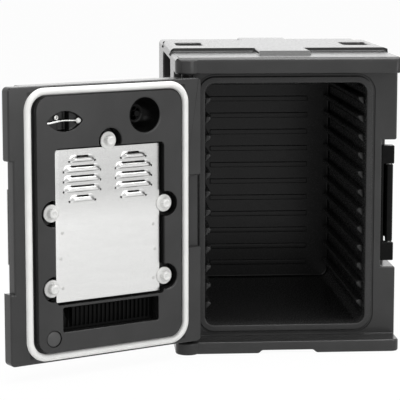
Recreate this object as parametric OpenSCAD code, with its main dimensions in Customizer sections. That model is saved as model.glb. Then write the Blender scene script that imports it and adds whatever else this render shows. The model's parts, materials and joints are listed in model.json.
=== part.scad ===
// Insulated front-loading hot cupboard with a heated door. Millimetres, +Z up, front towards -Y.
// The origin is the centre of the base. Heights are above the floor. Depths run back from the plinth's front.
// The door's pieces are drawn closed and then swung open about the hinge.

/* [Cabinet] */
// Width across the sides
body_w = 475; // [460:1:520]
// Depth from the plinth's front to the back
body_d = 680; // [650:1:740]
// Height of the flat top deck
deck_h = 626; // [600:1:700]
// Rise of the plateau and its tongue above the deck
deck_rise = 8; // [4:0.5:14]
// How far plinth and cornice stand in front of the front wall
overhang = 62; // [56:1:75]
// Height of the cornice
cornice_h = 34; // [28:1:44]
// Height of the plinth
plinth_h = 26; // [20:1:36]
// Moulded skin
skin = 5; // [3:0.5:6]
// Radius of the upright corners
corner_r = 16; // [8:1:24]
// Radius of the top edges
top_r = 10; // [4:1:14]
// Depth of the plateau, front to back
plateau_d = 290; // [240:1:320]
// Length of the tongue, front to back
tongue_d = 490; // [420:1:540]
// Width of the tongue
tongue_w = 110; // [80:1:140]
// Run of the tongue's sloped ends
tongue_slope = 22; // [10:1:40]

/* [Cavity] */
// Thickness of each side wall
side_wall = 66.5; // [62:0.5:72]
// Thickness of the back wall
back_wall = 64; // [50:1:80]
// Height of the cavity floor
floor_h = 50; // [46:1:56]
// Distance from the cavity ceiling up to the deck
ceiling_t = 58; // [54:1:70]
// Corner radius of the cavity
cavity_r = 20; // [12:1:30]
// Width of the sealing lip
lip_w = 14; // [10:0.5:16]
// How far the lip stands in front of the front wall
lip_t = 5; // [3:0.5:8]
// Width of the groove round the lip
groove_w = 5; // [3:0.5:6]
// Depth of the groove round the lip
groove_t = 2.5; // [1:0.25:2.75]

/* [Pan runners] */
// Pitch of the runners
runner_pitch = 40; // [35:0.5:60]
// Top of the lowest runner above the cavity floor
runner_low = 47; // [40:1:60]
// Least room above the top runner
runner_head = 30; // [24:1:40]
// How far a runner stands in from the wall
runner_in = 14; // [10:0.5:20]
// Thickness of a runner at its tip
runner_tip = 8; // [4:0.5:10]
// Thickness of a runner at the wall
runner_root = 20; // [12:0.5:24]
// Runner fronts behind the front wall
runner_back = 19; // [10:1:40]
// Gap between a runner's end and the back wall
runner_end = 8; // [6:0.5:16]
// Width of a rear rib
rib_w = 236; // [180:1:260]
// Height of a rear rib
rib_h = 12; // [8:0.5:16]
// Thickness of a rear rib
rib_t = 4; // [2:0.5:5]

/* [Hand grips] */
// Length of the side pocket
grip_l = 300; // [240:1:320]
// Lower edge of the side pocket below the deck
grip_low = 86; // [70:1:100]
// Upper edge of the side pocket below the deck
grip_high = 18; // [14:0.5:24]
// Depth of the side pocket
grip_deep = 45; // [36:1:48]
// Corner radius of the pockets
grip_r = 14; // [6:1:20]
// Length of the slot in the top
slot_l = 110; // [90:1:140]
// Width of the slot in the top
slot_w = 58; // [44:1:64]
// Width of the grip bar outside the slot
grip_bar = 21.5; // [18:0.5:28]
// Depth of the slot below the deck
slot_deep = 38; // [30:1:42]

/* [Base notch] */
// Width of the notch in the plinth's front, at its top
notch_w = 110; // [80:1:140]
// Height of the notch
notch_h = 6.5; // [4.5:0.5:8]
// Slope of the notch's ends
notch_slope = 6; // [2:0.5:10]

/* [Hinge] */
// Axis in from the left side
hinge_in = 25.5; // [24:0.5:30]
// Axis behind the plinth's front
hinge_back = 16; // [14:0.5:18]
// Radius of the hinge lobes
lobe_r = 26; // [22:0.5:28]
// Lobe top below the deck
lobe_drop = 6; // [2:0.5:8]
// Radius of a hinge pin
pin_r = 6; // [4:0.5:7]
// Depth of a pin in its lobe
pin_deep = 18; // [12:1:19]
// Outer radius of a bush
bush_r = 9; // [8.5:0.5:10]
// Length of a bush in the door
bush_l = 24; // [16:1:40]
// Radius of a bush's flange
bush_flange_r = 12.5; // [11:0.5:13]

/* [Door] */
// Door swung open from closed, in degrees
door_open = 150.4; // [0:0.1:200]
// Gap above and below the door
door_gap = 6; // [4:0.5:9]
// Door edge in from the cabinet's side
door_inset = 12.5; // [10:0.5:13]
// Thickness of the door
door_t = 50; // [46:0.5:54]
// Corner radius of the door
door_r = 10; // [6:1:18]
// Radius of the door's outer edges
door_edge_r = 8; // [7:0.5:10]
// Thickness of the door along its free edge
edge_t = 27; // [24:0.5:32]
// Width of the thinner free edge
edge_w = 36; // [34:1:44]
// Height of the plug over the door's inner face
plug_t = 10; // [6:0.5:12]
// Gap between the plug and the cavity lip
plug_gap = 3; // [2.5:0.5:5]
// Corner radius of the plug
plug_r = 28; // [18:1:40]
// Width of the seal
seal_w = 15; // [12:0.5:16]
// Thickness of the seal
seal_t = 7; // [5:0.5:9]
// Thickness of the seal's base, below its crown
seal_base_t = 4.5; // [3:0.25:4.75]
// Width of the seal's crown
seal_crown_w = 8; // [5:0.5:10]
// Corner radius of the seal, outside
seal_r = 45; // [32:1:56]
// Gap between plug and seal at the sides
seal_side_gap = 8; // [5:0.5:9]
// Gap between plug and seal above and below
seal_end_gap = 2; // [1:0.5:3]
// Length of the recess in the hinge edge
hinge_recess_l = 150; // [100:1:180]
// Width of the recess in the hinge edge
hinge_recess_w = 33; // [20:1:33]
// Depth of the recess in the hinge edge
hinge_recess_t = 12; // [6:0.5:14]

/* [Heater pocket] */
// Plug's face at each side of the rim around the cover
side_field = 40.5; // [36:0.5:44]
// Plug's face above the rim, for the probe and the vent
head_field = 104; // [98:0.5:112]
// Plug's face below the rim, for the intake slot
foot_field = 94; // [88:0.5:100]
// Depth of the rim
rim_t = 22; // [20:0.5:25]
// Rim's ledge at each side of the deep pocket
rim_side = 5; // [4:0.5:8]
// Rim's ledge above and below the deep pocket
rim_end = 3; // [1:0.5:5]
// Depth of the deep pocket
pocket_t = 40; // [36:0.5:44]
// Radius of the round pocket at each thumbscrew
knob_pocket_r = 26; // [22:0.5:28]
// Depth of the round pockets
knob_pocket_t = 28; // [22:0.5:32]
// Height of the bridge between the rim and the intake slot
bridge_h = 5; // [4:0.5:9]
// Ends of the intake slot in from the deep pocket's sides
intake_in = 10; // [6:0.5:20]
// Height of the intake slot
intake_h = 50; // [40:1:56]
// Depth of the intake slot
intake_t = 34; // [28:0.5:36]

/* [Heater cover] */
// Gap between the cover and the deep pocket's sides
cover_side_gap = 2; // [1:0.25:5]
// Gap between the cover and the deep pocket's ends
cover_end_gap = 1; // [0.5:0.25:4]
// Sheet of the cover
sheet = 1.2; // [0.8:0.1:2]
// Face of the cover below the plug's face
cover_drop = 13; // [11:0.5:15]
// Depth of the cover's side flanges
cover_flange = 8; // [4:0.5:12]
// Thumbscrew axes outside the cover's edge
knob_out = 11.5; // [11:0.5:13]
// Upper side thumbscrews below the cover's upper edge
knob_high = 124.5; // [110:0.5:136]
// Lower side thumbscrews above the cover's lower edge
knob_low = 30; // [27:0.5:42]
// Radius of the ear at each thumbscrew
ear_r = 15; // [12:0.5:18]
// Radius of a thumbscrew's flange
knob_flange_r = 18; // [14:0.5:20]
// Thickness of a thumbscrew's flange
knob_flange_t = 4; // [2:0.5:5]
// Radius of a thumbscrew's grip
knob_r = 10; // [8:0.5:13]
// Length of a thumbscrew's grip
knob_l = 12; // [8:0.5:14]
// Radius of a thumbscrew's shank
shank_r = 3; // [2:0.25:4]
// Length of a thumbscrew's shank behind the cover
shank_l = 9; // [7:0.5:10]
// Radius of a post
post_r = 7; // [6:0.25:8]
// Louvre rows
louvre_rows = 5; // [3:1:5]
// Pitch of the louvre rows
louvre_pitch = 20; // [18:0.5:24]
// Top louvre edge below the cover's top edge
louvre_top = 13; // [10:0.5:18]
// Middle of each louvre column off the cover's middle
louvre_x = 60; // [50:0.5:62]
// Length of a full louvre
louvre_l = 84; // [70:1:90]
// Length of the end louvres
louvre_end_l = 57; // [50:1:84]
// Height of a louvre
louvre_h = 13; // [10:0.5:14]
// Rise of a louvre
louvre_t = 5; // [4:0.25:6]
// Run of a louvre's sloped ends
louvre_slope = 14; // [8:0.5:18]
// Rivet columns in from the cover's sides
rivet_in = 14; // [11:0.5:22]
// Radius of a rivet head
rivet_r = 3.5; // [2.5:0.25:5]
// Height of a rivet head
rivet_t = 1.5; // [1:0.25:2.5]

/* [Heater] */
// Gap between the tray and the deep pocket's sides
tray_side_gap = 10.5; // [8:0.5:13]
// Gap between the tray and the deep pocket's ends
tray_end_gap = 11; // [6:0.5:16]
// Depth of the tray
tray_t = 22; // [18:0.5:23]
// Radius of the tube element
tube_r = 4; // [3:0.25:5]
// Element's outer legs in from the tray's sides
tube_in = 46; // [40:1:58]
// Lower ends of the element's straight legs above the tray's lower edge
tube_low = 56; // [50:1:62]
// Upper ends of the straight legs below the tray's upper edge
tube_high = 25; // [20:1:34]
// Height of the element's axis over the tray
tube_over = 15; // [13:0.5:17]
// Lower saddle above the element's lower bend
saddle_low = 51; // [40:1:70]
// Upper saddle below the upper ends of the legs
saddle_high = 41; // [30:1:75]
// Height of a saddle bar
saddle_h = 8; // [5:0.5:12]
// Width of a terminal block
terminal_w = 24; // [18:1:30]
// Height of a terminal block
terminal_h = 18; // [14:1:20]
// Radius of the thermal cut-out
cutout_r = 8; // [6:0.5:10]
// Thickness of the thermal cut-out
cutout_t = 10; // [6:0.5:12]
// Radius of a lead
lead_r = 2.5; // [1.5:0.25:3]

/* [Probe and vent] */
// Middle of the probe pocket off the door's middle
probe_x = 104.5; // [96:0.5:108]
// Middle of the probe pocket below the door's upper edge
probe_drop = 71.5; // [66:0.5:76]
// Length of the probe pocket
probe_l = 82; // [74:1:88]
// Height of the probe pocket
probe_h = 41; // [36:1:46]
// Depth of the probe pocket's ledges
probe_t = 8; // [7:0.5:12]
// Width of the deep slot between the ledges
probe_slot_w = 26; // [20:1:32]
// Depth of the deep slot
probe_slot_t = 24; // [20:0.5:28]
// Radius of the probe rod
rod_r = 2; // [1.5:0.25:2.5]
// Rod below the plug's face
rod_drop = 4; // [3.5:0.25:4.5]
// Middle of the vent off the door's middle
vent_x = -81; // [-90:0.5:-76]
// Middle of the vent below the door's upper edge
vent_drop = 68.5; // [64:0.5:74]
// Radius of the funnel's mouth
funnel_r = 35.5; // [30:0.5:38]
// Radius of the funnel's throat
throat_r = 22; // [20:0.5:26]
// Depth of the funnel
funnel_t = 44; // [38:0.5:46]
// Radius of the vent hole
vent_r = 16; // [13:0.5:18]
// Radius of the vent cap
cap_r = 24; // [20:0.5:28]
// Thickness of the vent cap
cap_t = 6; // [4:0.5:8]
// Radius of the cap's stem
stem_r = 4; // [3:0.25:5]
// Travel of the vent cap
cap_travel = 8; // [4:0.5:9]

/* [Fill plugs] */
// Radius of the plug in the door
fill_r = 17; // [14:0.5:19]
// Door plug off the door's middle
fill_x = 134; // [124:0.5:138]
// Door plug above the door's lower edge
fill_z = 49; // [44:0.5:53]
// Radius of the plugs in the back
rear_fill_r = 20; // [14:0.5:24]
// Rear plugs off the middle
rear_fill_x = 120; // [80:1:140]
// Rear plugs below the deck
rear_fill_drop = 66; // [50:1:90]
// Thickness of a plug's skin
fill_t = 5; // [3:0.5:6]

/* [Latch] */
// Depth of the recess in the right side
latch_deep = 31.5; // [30:0.5:34]
// Height of the recess
latch_recess_h = 274; // [268:1:290]
// Length of the recess from the front wall
latch_recess_l = 143; // [138:1:160]
// Height of the latch base
latch_h = 248; // [240:1:260]
// Length of the latch base
latch_l = 126; // [122:1:132]
// Thickness of the latch base plate
latch_plate = 5; // [4:0.5:6]
// Base plate behind the front wall
latch_back = 4; // [3:0.5:8]
// Depth of the cheeks, front to back
cheek_l = 28; // [24:0.5:36]
// Reach of the cheeks out of the recess floor
cheek_out = 28; // [27:0.5:30]
// Lever pin out of the recess floor
latch_pin_out = 19; // [18.5:0.5:20]
// Lever pin behind the front wall
latch_pin_back = 16; // [14:0.5:20]
// Radius of the lever pin
latch_pin_r = 3; // [2:0.25:3.5]
// Height of the lever
lever_h = 166; // [150:1:172]
// Thickness of the lever arm
lever_t = 8; // [6:0.5:8]
// Radius of the lever's hub
lever_hub_r = 8; // [7:0.5:9]
// Lever's arm inside its pin axis when parked
lever_offset = 1; // [0.5:0.25:1.5]
// Reach of the claw from the arm
claw_reach = 10; // [7:0.5:11]
// Thickness of the claw
claw_t = 7; // [5:0.5:9]
// Reach of the finger lip from the arm
finger_reach = 6; // [4:0.5:7]
// Height of the notch in the door's free edge
edge_notch_h = 262; // [256:1:280]
// Depth of the notch in the door's free edge
edge_notch_t = 10; // [9.5:0.5:14]
// Width of the keeper plate
keeper_w = 26; // [22:1:34]
// Height of the keeper plate
keeper_h = 150; // [120:1:160]
// Thickness of the keeper plate
keeper_t = 2; // [1.5:0.25:3]

/* [Controls] */
// Width of the control housing
housing_w = 200; // [190:1:220]
// Height of the control housing
housing_h = 120; // [110:1:130]
// Depth of the control housing
housing_t = 28; // [24:0.5:34]
// Middle of the housing above the door's lower edge
housing_z = 138; // [130:0.5:150]
// Wall of the housing
housing_wall = 3; // [2:0.25:4]
// Corner radius of the housing
housing_r = 8; // [4:0.5:12]
// Thickness of the front panel
panel_t = 2.5; // [2:0.25:4]
// Dial and inlet in from the housing's ends
dial_in = 34; // [30:0.5:40]
// Thermostat body across
thermostat_w = 36; // [28:1:40]
// Thermostat body depth
thermostat_t = 16; // [12:0.5:18]
// Radius of the thermostat shaft
shaft_r = 3; // [2:0.25:4]
// Radius of the thermostat knob
dial_r = 20; // [16:0.5:24]
// Height of the thermostat knob
dial_t = 14; // [12:0.5:18]
// Width of the rocker
rocker_w = 16; // [12:0.5:18]
// Height of the rocker
rocker_h = 24; // [20:0.5:26]
// Radius of the rocker's pivot
rocker_pin_r = 1.5; // [1:0.25:2]
// Switch above the housing's middle
switch_z = 15; // [10:0.5:20]
// Lamp below the housing's middle
lamp_z = 30; // [26:0.5:40]
// Radius of the lamp
lamp_r = 5; // [4:0.25:6]
// Width of the inlet's socket
inlet_w = 27; // [24:0.5:28]
// Height of the inlet's socket
inlet_h = 19; // [17:0.5:20]
// Depth of the inlet's socket
inlet_t = 16; // [14:0.5:18]
// Wall of the inlet
inlet_wall = 2; // [1.5:0.25:3]

/* [Fits] */
// Radial clearance of pins that run in bores
run_gap = 0.05; // [0.02:0.01:0.09]
// Clearance of pieces that sit in pockets
seat_gap = 0.3; // [0.2:0.05:0.6]
// Clearance of faces that move past each other
move_gap = 0.4; // [0.3:0.05:0.8]

/* [Hidden] */
$fn = 96;

// How far a cutter runs past the face that it opens
past = 1;

// Cabinet
side_x = body_w / 2;
mid_y = body_d / 2;
cornice_z = deck_h - cornice_h;
plateau_h = deck_h + deck_rise;
back_y = body_d - back_wall;
cavity_x = side_x - side_wall;
cavity_z1 = deck_h - ceiling_t;
lip_y = overhang - lip_t;

// Pan runners
runner_y0 = overhang + runner_back;
runner_z0 = floor_h + runner_low;
runner_count = floor((cavity_z1 - runner_z0 - runner_head) / runner_pitch) + 1;
// A rib's upper edge is this far below the runner's top
rib_below = 5;

// Hinge
hinge_x = hinge_in - side_x;
lobe_z1 = deck_h - lobe_drop;

// Door, closed
door_z0 = plinth_h + door_gap;
door_z1 = cornice_z - door_gap;
door_mid_z = (door_z0 + door_z1) / 2;
door_x = side_x - door_inset;
inner_y = lip_y - seat_gap - seal_t;
outer_y = inner_y - door_t;
plug_y = inner_y + plug_t;
plug_x = cavity_x - plug_gap;
plug_z0 = floor_h + plug_gap;
plug_z1 = cavity_z1 - plug_gap;
seal_x = plug_x + seal_side_gap;
seal_z0 = plug_z0 - seal_end_gap;
seal_z1 = plug_z1 + seal_end_gap;

// Heater pocket and cover
rim_w = 2 * (plug_x - side_field);
rim_z0 = plug_z0 + foot_field;
rim_z1 = plug_z1 - head_field;
heater_z = (rim_z0 + rim_z1) / 2;
pocket_w = rim_w - 2 * rim_side;
pocket_h = rim_z1 - rim_z0 - 2 * rim_end;
intake_w = pocket_w - 2 * intake_in;
intake_z1 = rim_z0 - bridge_h;
intake_y = plug_y - intake_t;
pocket_y = plug_y - pocket_t;
rim_y = plug_y - rim_t;
knob_floor_y = plug_y - knob_pocket_t;
intake_r = 4;
cover_y = plug_y - cover_drop;
cover_back_y = cover_y - sheet;
cover_w = pocket_w - 2 * cover_side_gap;
cover_z0 = rim_z0 + rim_end + cover_end_gap;
cover_z1 = rim_z1 - rim_end - cover_end_gap;
knob_x = cover_w / 2 + knob_out;
knob_top_z = cover_z1 + knob_out + sheet;
// Heights of the side thumbscrews
knob_z = [cover_z1 - knob_high, cover_z0 + knob_low];
// Thumbscrew axes: two on each side and one above the cover
knobs = [
    [knob_x, knob_z[0]], [-knob_x, knob_z[0]], [knob_x, knob_z[1]], [-knob_x, knob_z[1]], [0, knob_top_z]
];
// Rivets above the cover's lower edge, and how far each stands out of its column
rivet_rise = [140, 88, 28];
rivet_shift = [0, 4, 0];
rivet_x = cover_w / 2 - rivet_in;

// Heater
tray_y = pocket_y + sheet;
tube_y = tray_y + tube_over;
tray_w = pocket_w - 2 * tray_side_gap;
tray_z0 = heater_z - pocket_h / 2 + tray_end_gap;
tray_z1 = heater_z + pocket_h / 2 - tray_end_gap;
tube_z0 = tray_z0 + tube_low;
tube_z1 = tray_z1 - tube_high;
terminal_t = tube_over + tube_r + sheet * 3;
tube_seat = terminal_h / 2;
saddle_wall = 2;
saddle_t = 2 * (tube_r + saddle_wall);
saddle_foot = 10;
// Legs of the element, in pitches off its middle
leg_count = 4;
legs = [for (i = [0 : leg_count - 1]) i - (leg_count - 1) / 2];
tube_end_x = tray_w / 2 - tube_in;
tube_pitch = tube_end_x / legs[leg_count - 1];
bend_r = tube_pitch / 2;
terminal_z1 = tube_z0 - bend_r - terminal_h / 3;
terminal_z = terminal_z1 - terminal_h / 2;

// Probe and vent
probe_z = door_z1 - probe_drop;
vent_z = door_z1 - vent_drop;
probe_floor_y = plug_y - probe_t;
rod_y = plug_y - rod_drop;
lens_r = (probe_l * probe_l + probe_h * probe_h) / (4 * probe_h);
eyelet_r = 6;
eyelet_x = probe_x - probe_l / 2 + 1.5 * eyelet_r;
probe_screw_r = 2.5;
probe_head_r = 4.5;
probe_lug_t = 3;
clip_x = probe_x + probe_slot_w / 2 + probe_head_r;
clip_rise = 8;
funnel_y = plug_y - funnel_t;
guide_t = 14;
guide_y = outer_y + skin / 2;
guide_wall = 3;
stop_inset = 0.5;
guide_hub_r = stem_r + guide_wall;
stop_r = guide_hub_r - stop_inset;
stop_t = 4;

// Latch, parked in its recess
recess_x = side_x - latch_deep;
latch_x = recess_x + latch_pin_out;
latch_y = overhang + latch_pin_back;
latch_base_y = overhang + latch_back;
edge_x = door_x - edge_notch_t;
edge_y = inner_y - edge_t;
latch_z0 = door_mid_z - latch_h / 2;
latch_z1 = door_mid_z + latch_h / 2;
cheek_gap = 2;
cheek_r = 4;
cheek_z0 = door_mid_z - lever_h / 2 - cheek_gap;
cheek_z1 = door_mid_z + lever_h / 2 + cheek_gap;
pin_in_cheek = 25;
screw_r = 3;
screw_head_r = 5;
screw_head_t = 2.5;
latch_screw_y = [latch_base_y + cheek_l + 3 * screw_head_r, latch_base_y + latch_l - 2 * screw_head_r];
latch_screw_rise = 60;
keeper_y = edge_y - keeper_t;
keeper_head_r = 4;
keeper_screw_x = edge_x - keeper_w + 2 * screw_r;
keeper_screw_rise = keeper_h / 2 - 3 * screw_r;
// Claw seat measured from the lever's pin: swung forward, it bears on the keeper
claw_seat = latch_y - keeper_y + move_gap;
lever_l = claw_seat + claw_t;

// Controls on the door's outer face
housing_mid_z = door_z0 + housing_z;
housing_y = outer_y - housing_t;
panel_y = housing_y - panel_t;
dial_x = dial_in - housing_w / 2;
inlet_x = housing_w / 2 - dial_in;
dial_gap = 0.5;
rocker_t = 8;
rocker_pivot_in = 1.5;
rocker_pivot_y = housing_y + rocker_pivot_in;
rocker_side_gap = 0.4;
rocker_end_gap = 2;
frame_rim = 3;
frame_wall = 2.5;
frame_t = 14;
bezel_t = 2;
switch_w = rocker_w + 2 * (rocker_side_gap + frame_wall);
switch_h = rocker_h + 2 * (rocker_end_gap + frame_wall);
inlet_outer_w = inlet_w + 2 * inlet_wall;
inlet_outer_h = inlet_h + 2 * inlet_wall;
panel_screw_in = 9;
panel_screw_x = housing_w / 2 - panel_screw_in;
panel_screw_z = housing_h / 2 - panel_screw_in;

// Rounded rectangle from one corner to the other
module rounded(x0, x1, y0, y1, r) {
    translate([x0 + r, y0]) square([x1 - x0 - 2 * r, y1 - y0]);
    translate([x0, y0 + r]) square([x1 - x0, y1 - y0 - 2 * r]);
    for (x = [x0 + r, x1 - r], y = [y0 + r, y1 - r]) translate([x, y]) circle(r);
}

// Outline in X and Z, as thick as y0 to y1
module slab_y(y0, y1) {
    translate([0, y1, 0]) rotate([90, 0, 0]) linear_extrude(y1 - y0) children();
}

// Outline in Y and Z, as thick as x0 to x1
module slab_x(x0, x1) {
    translate([x0, 0, 0]) rotate([90, 0, 90]) linear_extrude(x1 - x0) children();
}

// Outline in X and Y, as thick as z0 to z1
module slab_z(z0, z1) {
    translate([0, 0, z0]) linear_extrude(z1 - z0) children();
}

// Box from one corner to the other
module box(low, high) {
    translate(low) cube(high - low);
}

// Round rod along Y
module rod_along_y(x, z, r, y0, y1) {
    translate([x, y1, z]) rotate([90, 0, 0]) cylinder(h = y1 - y0, r = r);
}

// Round rod along Z
module rod_along_z(x, y, r, z0, z1) {
    translate([x, y, z0]) cylinder(h = z1 - z0, r = r);
}

// Moves what is measured from the plinth's front to the base centre
module on_base() {
    translate([0, -mid_y, 0]) children();
}

// Swings the closed door open about the hinge
module on_door() {
    on_base() translate([hinge_x, hinge_back, 0]) rotate(-door_open) translate([-hinge_x, -hinge_back, 0])
        children();
}

// Block with round upright corners and round top edges
module cabinet_block(height) {
    intersection() {
        slab_z(0, height) rounded(-side_x, side_x, 0, body_d, corner_r);
        slab_y(0, body_d) rounded(-side_x, side_x, -2 * top_r, height, top_r);
        slab_x(-side_x, side_x) rounded(0, body_d, -2 * top_r, height, top_r);
    }
}

// Tongue along the middle of the top, with sloped ends
module tongue() {
    y0 = mid_y - tongue_d / 2;
    y1 = mid_y + tongue_d / 2;
    slab_x(-tongue_w / 2, tongue_w / 2) polygon([
        [y0 - tongue_slope, deck_h - past], [y0, plateau_h],
        [y1, plateau_h], [y1 + tongue_slope, deck_h - past]
    ]);
}

// Space in front of the front wall, between plinth and cornice, for the door
module door_niche(grow) {
    box([-body_w, -lobe_r - past, plinth_h - grow], [body_w, overhang + grow, cornice_z + grow]);
}

module hinge_lobe(z0, z1) {
    rod_along_z(hinge_x, hinge_back, lobe_r, z0, z1);
}

module cabinet_form() {
    difference() {
        union() {
            cabinet_block(deck_h);
            intersection() {
                cabinet_block(plateau_h);
                box([-side_x, mid_y - plateau_d / 2, deck_h - top_r],
                    [side_x, mid_y + plateau_d / 2, plateau_h]);
            }
            tongue();
        }
        door_niche(0);
    }
    hinge_lobe(0, plinth_h);
    hinge_lobe(cornice_z, lobe_z1);
}

// Hand grip of the right side: a pocket in the side and a slot in the top that meets it
module grip_cut(grow) {
    slab_x(side_x - grip_deep - grow, side_x + past)
        rounded(mid_y - grip_l / 2 - grow, mid_y + grip_l / 2 + grow,
            deck_h - grip_low - grow, deck_h - grip_high + grow, grip_r + grow);
    slot_x1 = side_x - grip_bar;
    slab_z(deck_h - slot_deep - grow, plateau_h + past)
        rounded(slot_x1 - slot_w - grow, slot_x1 + grow,
            mid_y - slot_l / 2 - grow, mid_y + slot_l / 2 + grow, grip_r + grow);
}

module latch_recess(grow) {
    box([recess_x - grow, overhang - past, door_mid_z - latch_recess_h / 2 - grow],
        [side_x + past, overhang + latch_recess_l + grow, door_mid_z + latch_recess_h / 2 + grow]);
}

// Shallow notch under the plinth's front
module base_notch(grow) {
    half = notch_w / 2 + grow;
    slab_y(-past, overhang + grow) polygon([
        [-half - notch_slope, 0], [-half, notch_h + grow], [half, notch_h + grow], [half + notch_slope, 0]
    ]);
}

module cabinet_pockets(grow) {
    grip_cut(grow);
    mirror([1, 0, 0]) grip_cut(grow);
    latch_recess(grow);
    base_notch(grow);
}

// Space between the skins, before the liner goes in
module cabinet_void(gap) {
    inset = skin + gap;
    difference() {
        slab_z(inset, deck_h - inset)
            rounded(-side_x + inset, side_x - inset, inset, body_d - inset, corner_r);
        door_niche(inset);
        cabinet_pockets(inset);
        rod_along_z(hinge_x, hinge_back, lobe_r + gap, 0, deck_h);
    }
}

// Liner's outside behind the front wall
module liner_tub(grow, y0, y1) {
    slab_y(y0, y1) lip_outline(skin + grow);
}

// Cavity's outline, grown for the lip and what lies round it
module lip_outline(grow) {
    rounded(-cavity_x - grow, cavity_x + grow, floor_h - grow, cavity_z1 + grow, cavity_r + grow);
}

module rear_fill_holes(r, y0, y1) {
    for (x = [-rear_fill_x, rear_fill_x]) rod_along_y(x, deck_h - rear_fill_drop, r, y0, y1);
}

module outer_shell() {
    color("#424242") on_base() difference() {
        cabinet_form();
        cabinet_void(0);
        cabinet_pockets(0);
        liner_tub(seat_gap, overhang - past, overhang + skin + past);
        slab_y(overhang - past, overhang + groove_t) difference() {
            lip_outline(lip_w + groove_w);
            lip_outline(lip_w);
        }
        rear_fill_holes(rear_fill_r + seat_gap, body_d - skin - past, body_d + past);
        rod_along_z(hinge_x, hinge_back, pin_r + run_gap, plinth_h - pin_deep, plinth_h + past);
        rod_along_z(hinge_x, hinge_back, pin_r + run_gap, cornice_z - past, cornice_z + pin_deep);
    }
}

module inner_liner() {
    color("#2a2a2a") on_base() difference() {
        union() {
            liner_tub(0, lip_y, back_y + skin);
            slab_y(lip_y, overhang) lip_outline(lip_w);
        }
        slab_y(lip_y - past, back_y) lip_outline(0);
    }
}

// Runners of one side: flat on top, sloped below
module runner_set(side) {
    tip_x = cavity_x - runner_in;
    for (i = [0 : runner_count - 1]) translate([0, 0, runner_z0 + i * runner_pitch])
        slab_y(runner_y0, back_y - runner_end) polygon([
            [side * cavity_x, 0], [side * tip_x, 0],
            [side * tip_x, -runner_tip], [side * cavity_x, -runner_root]
        ]);
}

module left_runners() {
    color("#262626") on_base() runner_set(-1);
}

module right_runners() {
    color("#262626") on_base() runner_set(1);
}

module rear_ribs() {
    color("#262626") on_base()
        for (i = [0 : runner_count - 1]) translate([0, 0, runner_z0 + i * runner_pitch - rib_below])
            box([-rib_w / 2, back_y - rib_t, -rib_h], [rib_w / 2, back_y, 0]);
}

module cabinet_foam() {
    color("#d8cfa8") on_base() difference() {
        cabinet_void(seat_gap);
        liner_tub(seat_gap, overhang, back_y + skin + seat_gap);
    }
}

module rear_fill_plugs() {
    color("#383838") on_base() rear_fill_holes(rear_fill_r, body_d - fill_t, body_d);
}

module hinge_pin_top() {
    color("silver") on_base()
        rod_along_z(hinge_x, hinge_back, pin_r, door_z1 - bush_l + seat_gap, cornice_z + pin_deep - seat_gap);
}

module hinge_pin_bottom() {
    color("silver") on_base()
        rod_along_z(hinge_x, hinge_back, pin_r, plinth_h - pin_deep + seat_gap, door_z0 + bush_l - seat_gap);
}

// Block that holds one end of the lever's pin
module latch_cheek(z0, z1) {
    slab_z(z0, z1)
        rounded(recess_x, recess_x + cheek_out, latch_base_y, latch_base_y + cheek_l, cheek_r);
}

module latch_screw_rods(r, x0, x1) {
    for (y = latch_screw_y, z = [-latch_screw_rise, latch_screw_rise])
        translate([x0, y, door_mid_z + z]) rotate([0, 90, 0]) cylinder(h = x1 - x0, r = r);
}

module latch_base() {
    color("#101010") on_base() difference() {
        union() {
            box([recess_x, latch_base_y, latch_z0],
                [recess_x + latch_plate, latch_base_y + latch_l, latch_z1]);
            latch_cheek(latch_z0, cheek_z0);
            latch_cheek(cheek_z1, latch_z1);
        }
        rod_along_z(latch_x, latch_y, latch_pin_r + run_gap,
            cheek_z0 - pin_in_cheek, cheek_z1 + pin_in_cheek);
        latch_screw_rods(screw_r + run_gap, recess_x - past, recess_x + latch_plate + past);
    }
}

module latch_base_screws() {
    color("silver") on_base() {
        latch_screw_rods(screw_r, recess_x, recess_x + latch_plate);
        latch_screw_rods(screw_head_r, recess_x + latch_plate, recess_x + latch_plate + screw_head_t);
    }
}

module latch_pin() {
    color("silver") on_base() rod_along_z(latch_x, latch_y, latch_pin_r,
        cheek_z0 - pin_in_cheek + seat_gap, cheek_z1 + pin_in_cheek - seat_gap);
}

// Arm with a claw that points out and a finger lip that points in, parked towards the back
module lever_outline() {
    circle(lever_hub_r);
    translate([-lever_offset, 0]) square([lever_t, lever_l]);
    translate([lever_t - lever_offset - past, claw_seat]) square([claw_reach + past, claw_t]);
    translate([-lever_offset - finger_reach, claw_seat]) square([finger_reach + past, claw_t]);
}

module latch_lever() {
    color("#141414") on_base() translate([latch_x, latch_y, 0])
        slab_z(door_mid_z - lever_h / 2, door_mid_z + lever_h / 2) difference() {
            lever_outline();
            circle(latch_pin_r + run_gap);
        }
}

// Door block in from its faces, with round corners and round outer edges
module door_block(inset) {
    half = door_x - inset;
    z0 = door_z0 + inset;
    z1 = door_z1 - inset;
    y0 = outer_y + inset;
    y1 = inner_y - inset;
    behind = y1 + 2 * door_edge_r;
    intersection() {
        slab_y(y0, y1) rounded(-half, half, z0, z1, door_r);
        slab_x(-half, half) rounded(y0, behind, z0, z1, door_edge_r - inset);
        slab_z(z0, z1) rounded(-half, half, y0, behind, door_edge_r - inset);
    }
}

module plug_outline(inset) {
    rounded(-plug_x + inset, plug_x - inset, plug_z0 + inset, plug_z1 - inset, plug_r);
}

// Lens with pointed ends, where two equal circles cross
module lens_outline(grow) {
    shift = lens_r - probe_h / 2;
    translate([probe_x, probe_z]) intersection() {
        translate([0, shift]) circle(lens_r + grow);
        translate([0, -shift]) circle(lens_r + grow);
    }
}

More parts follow.
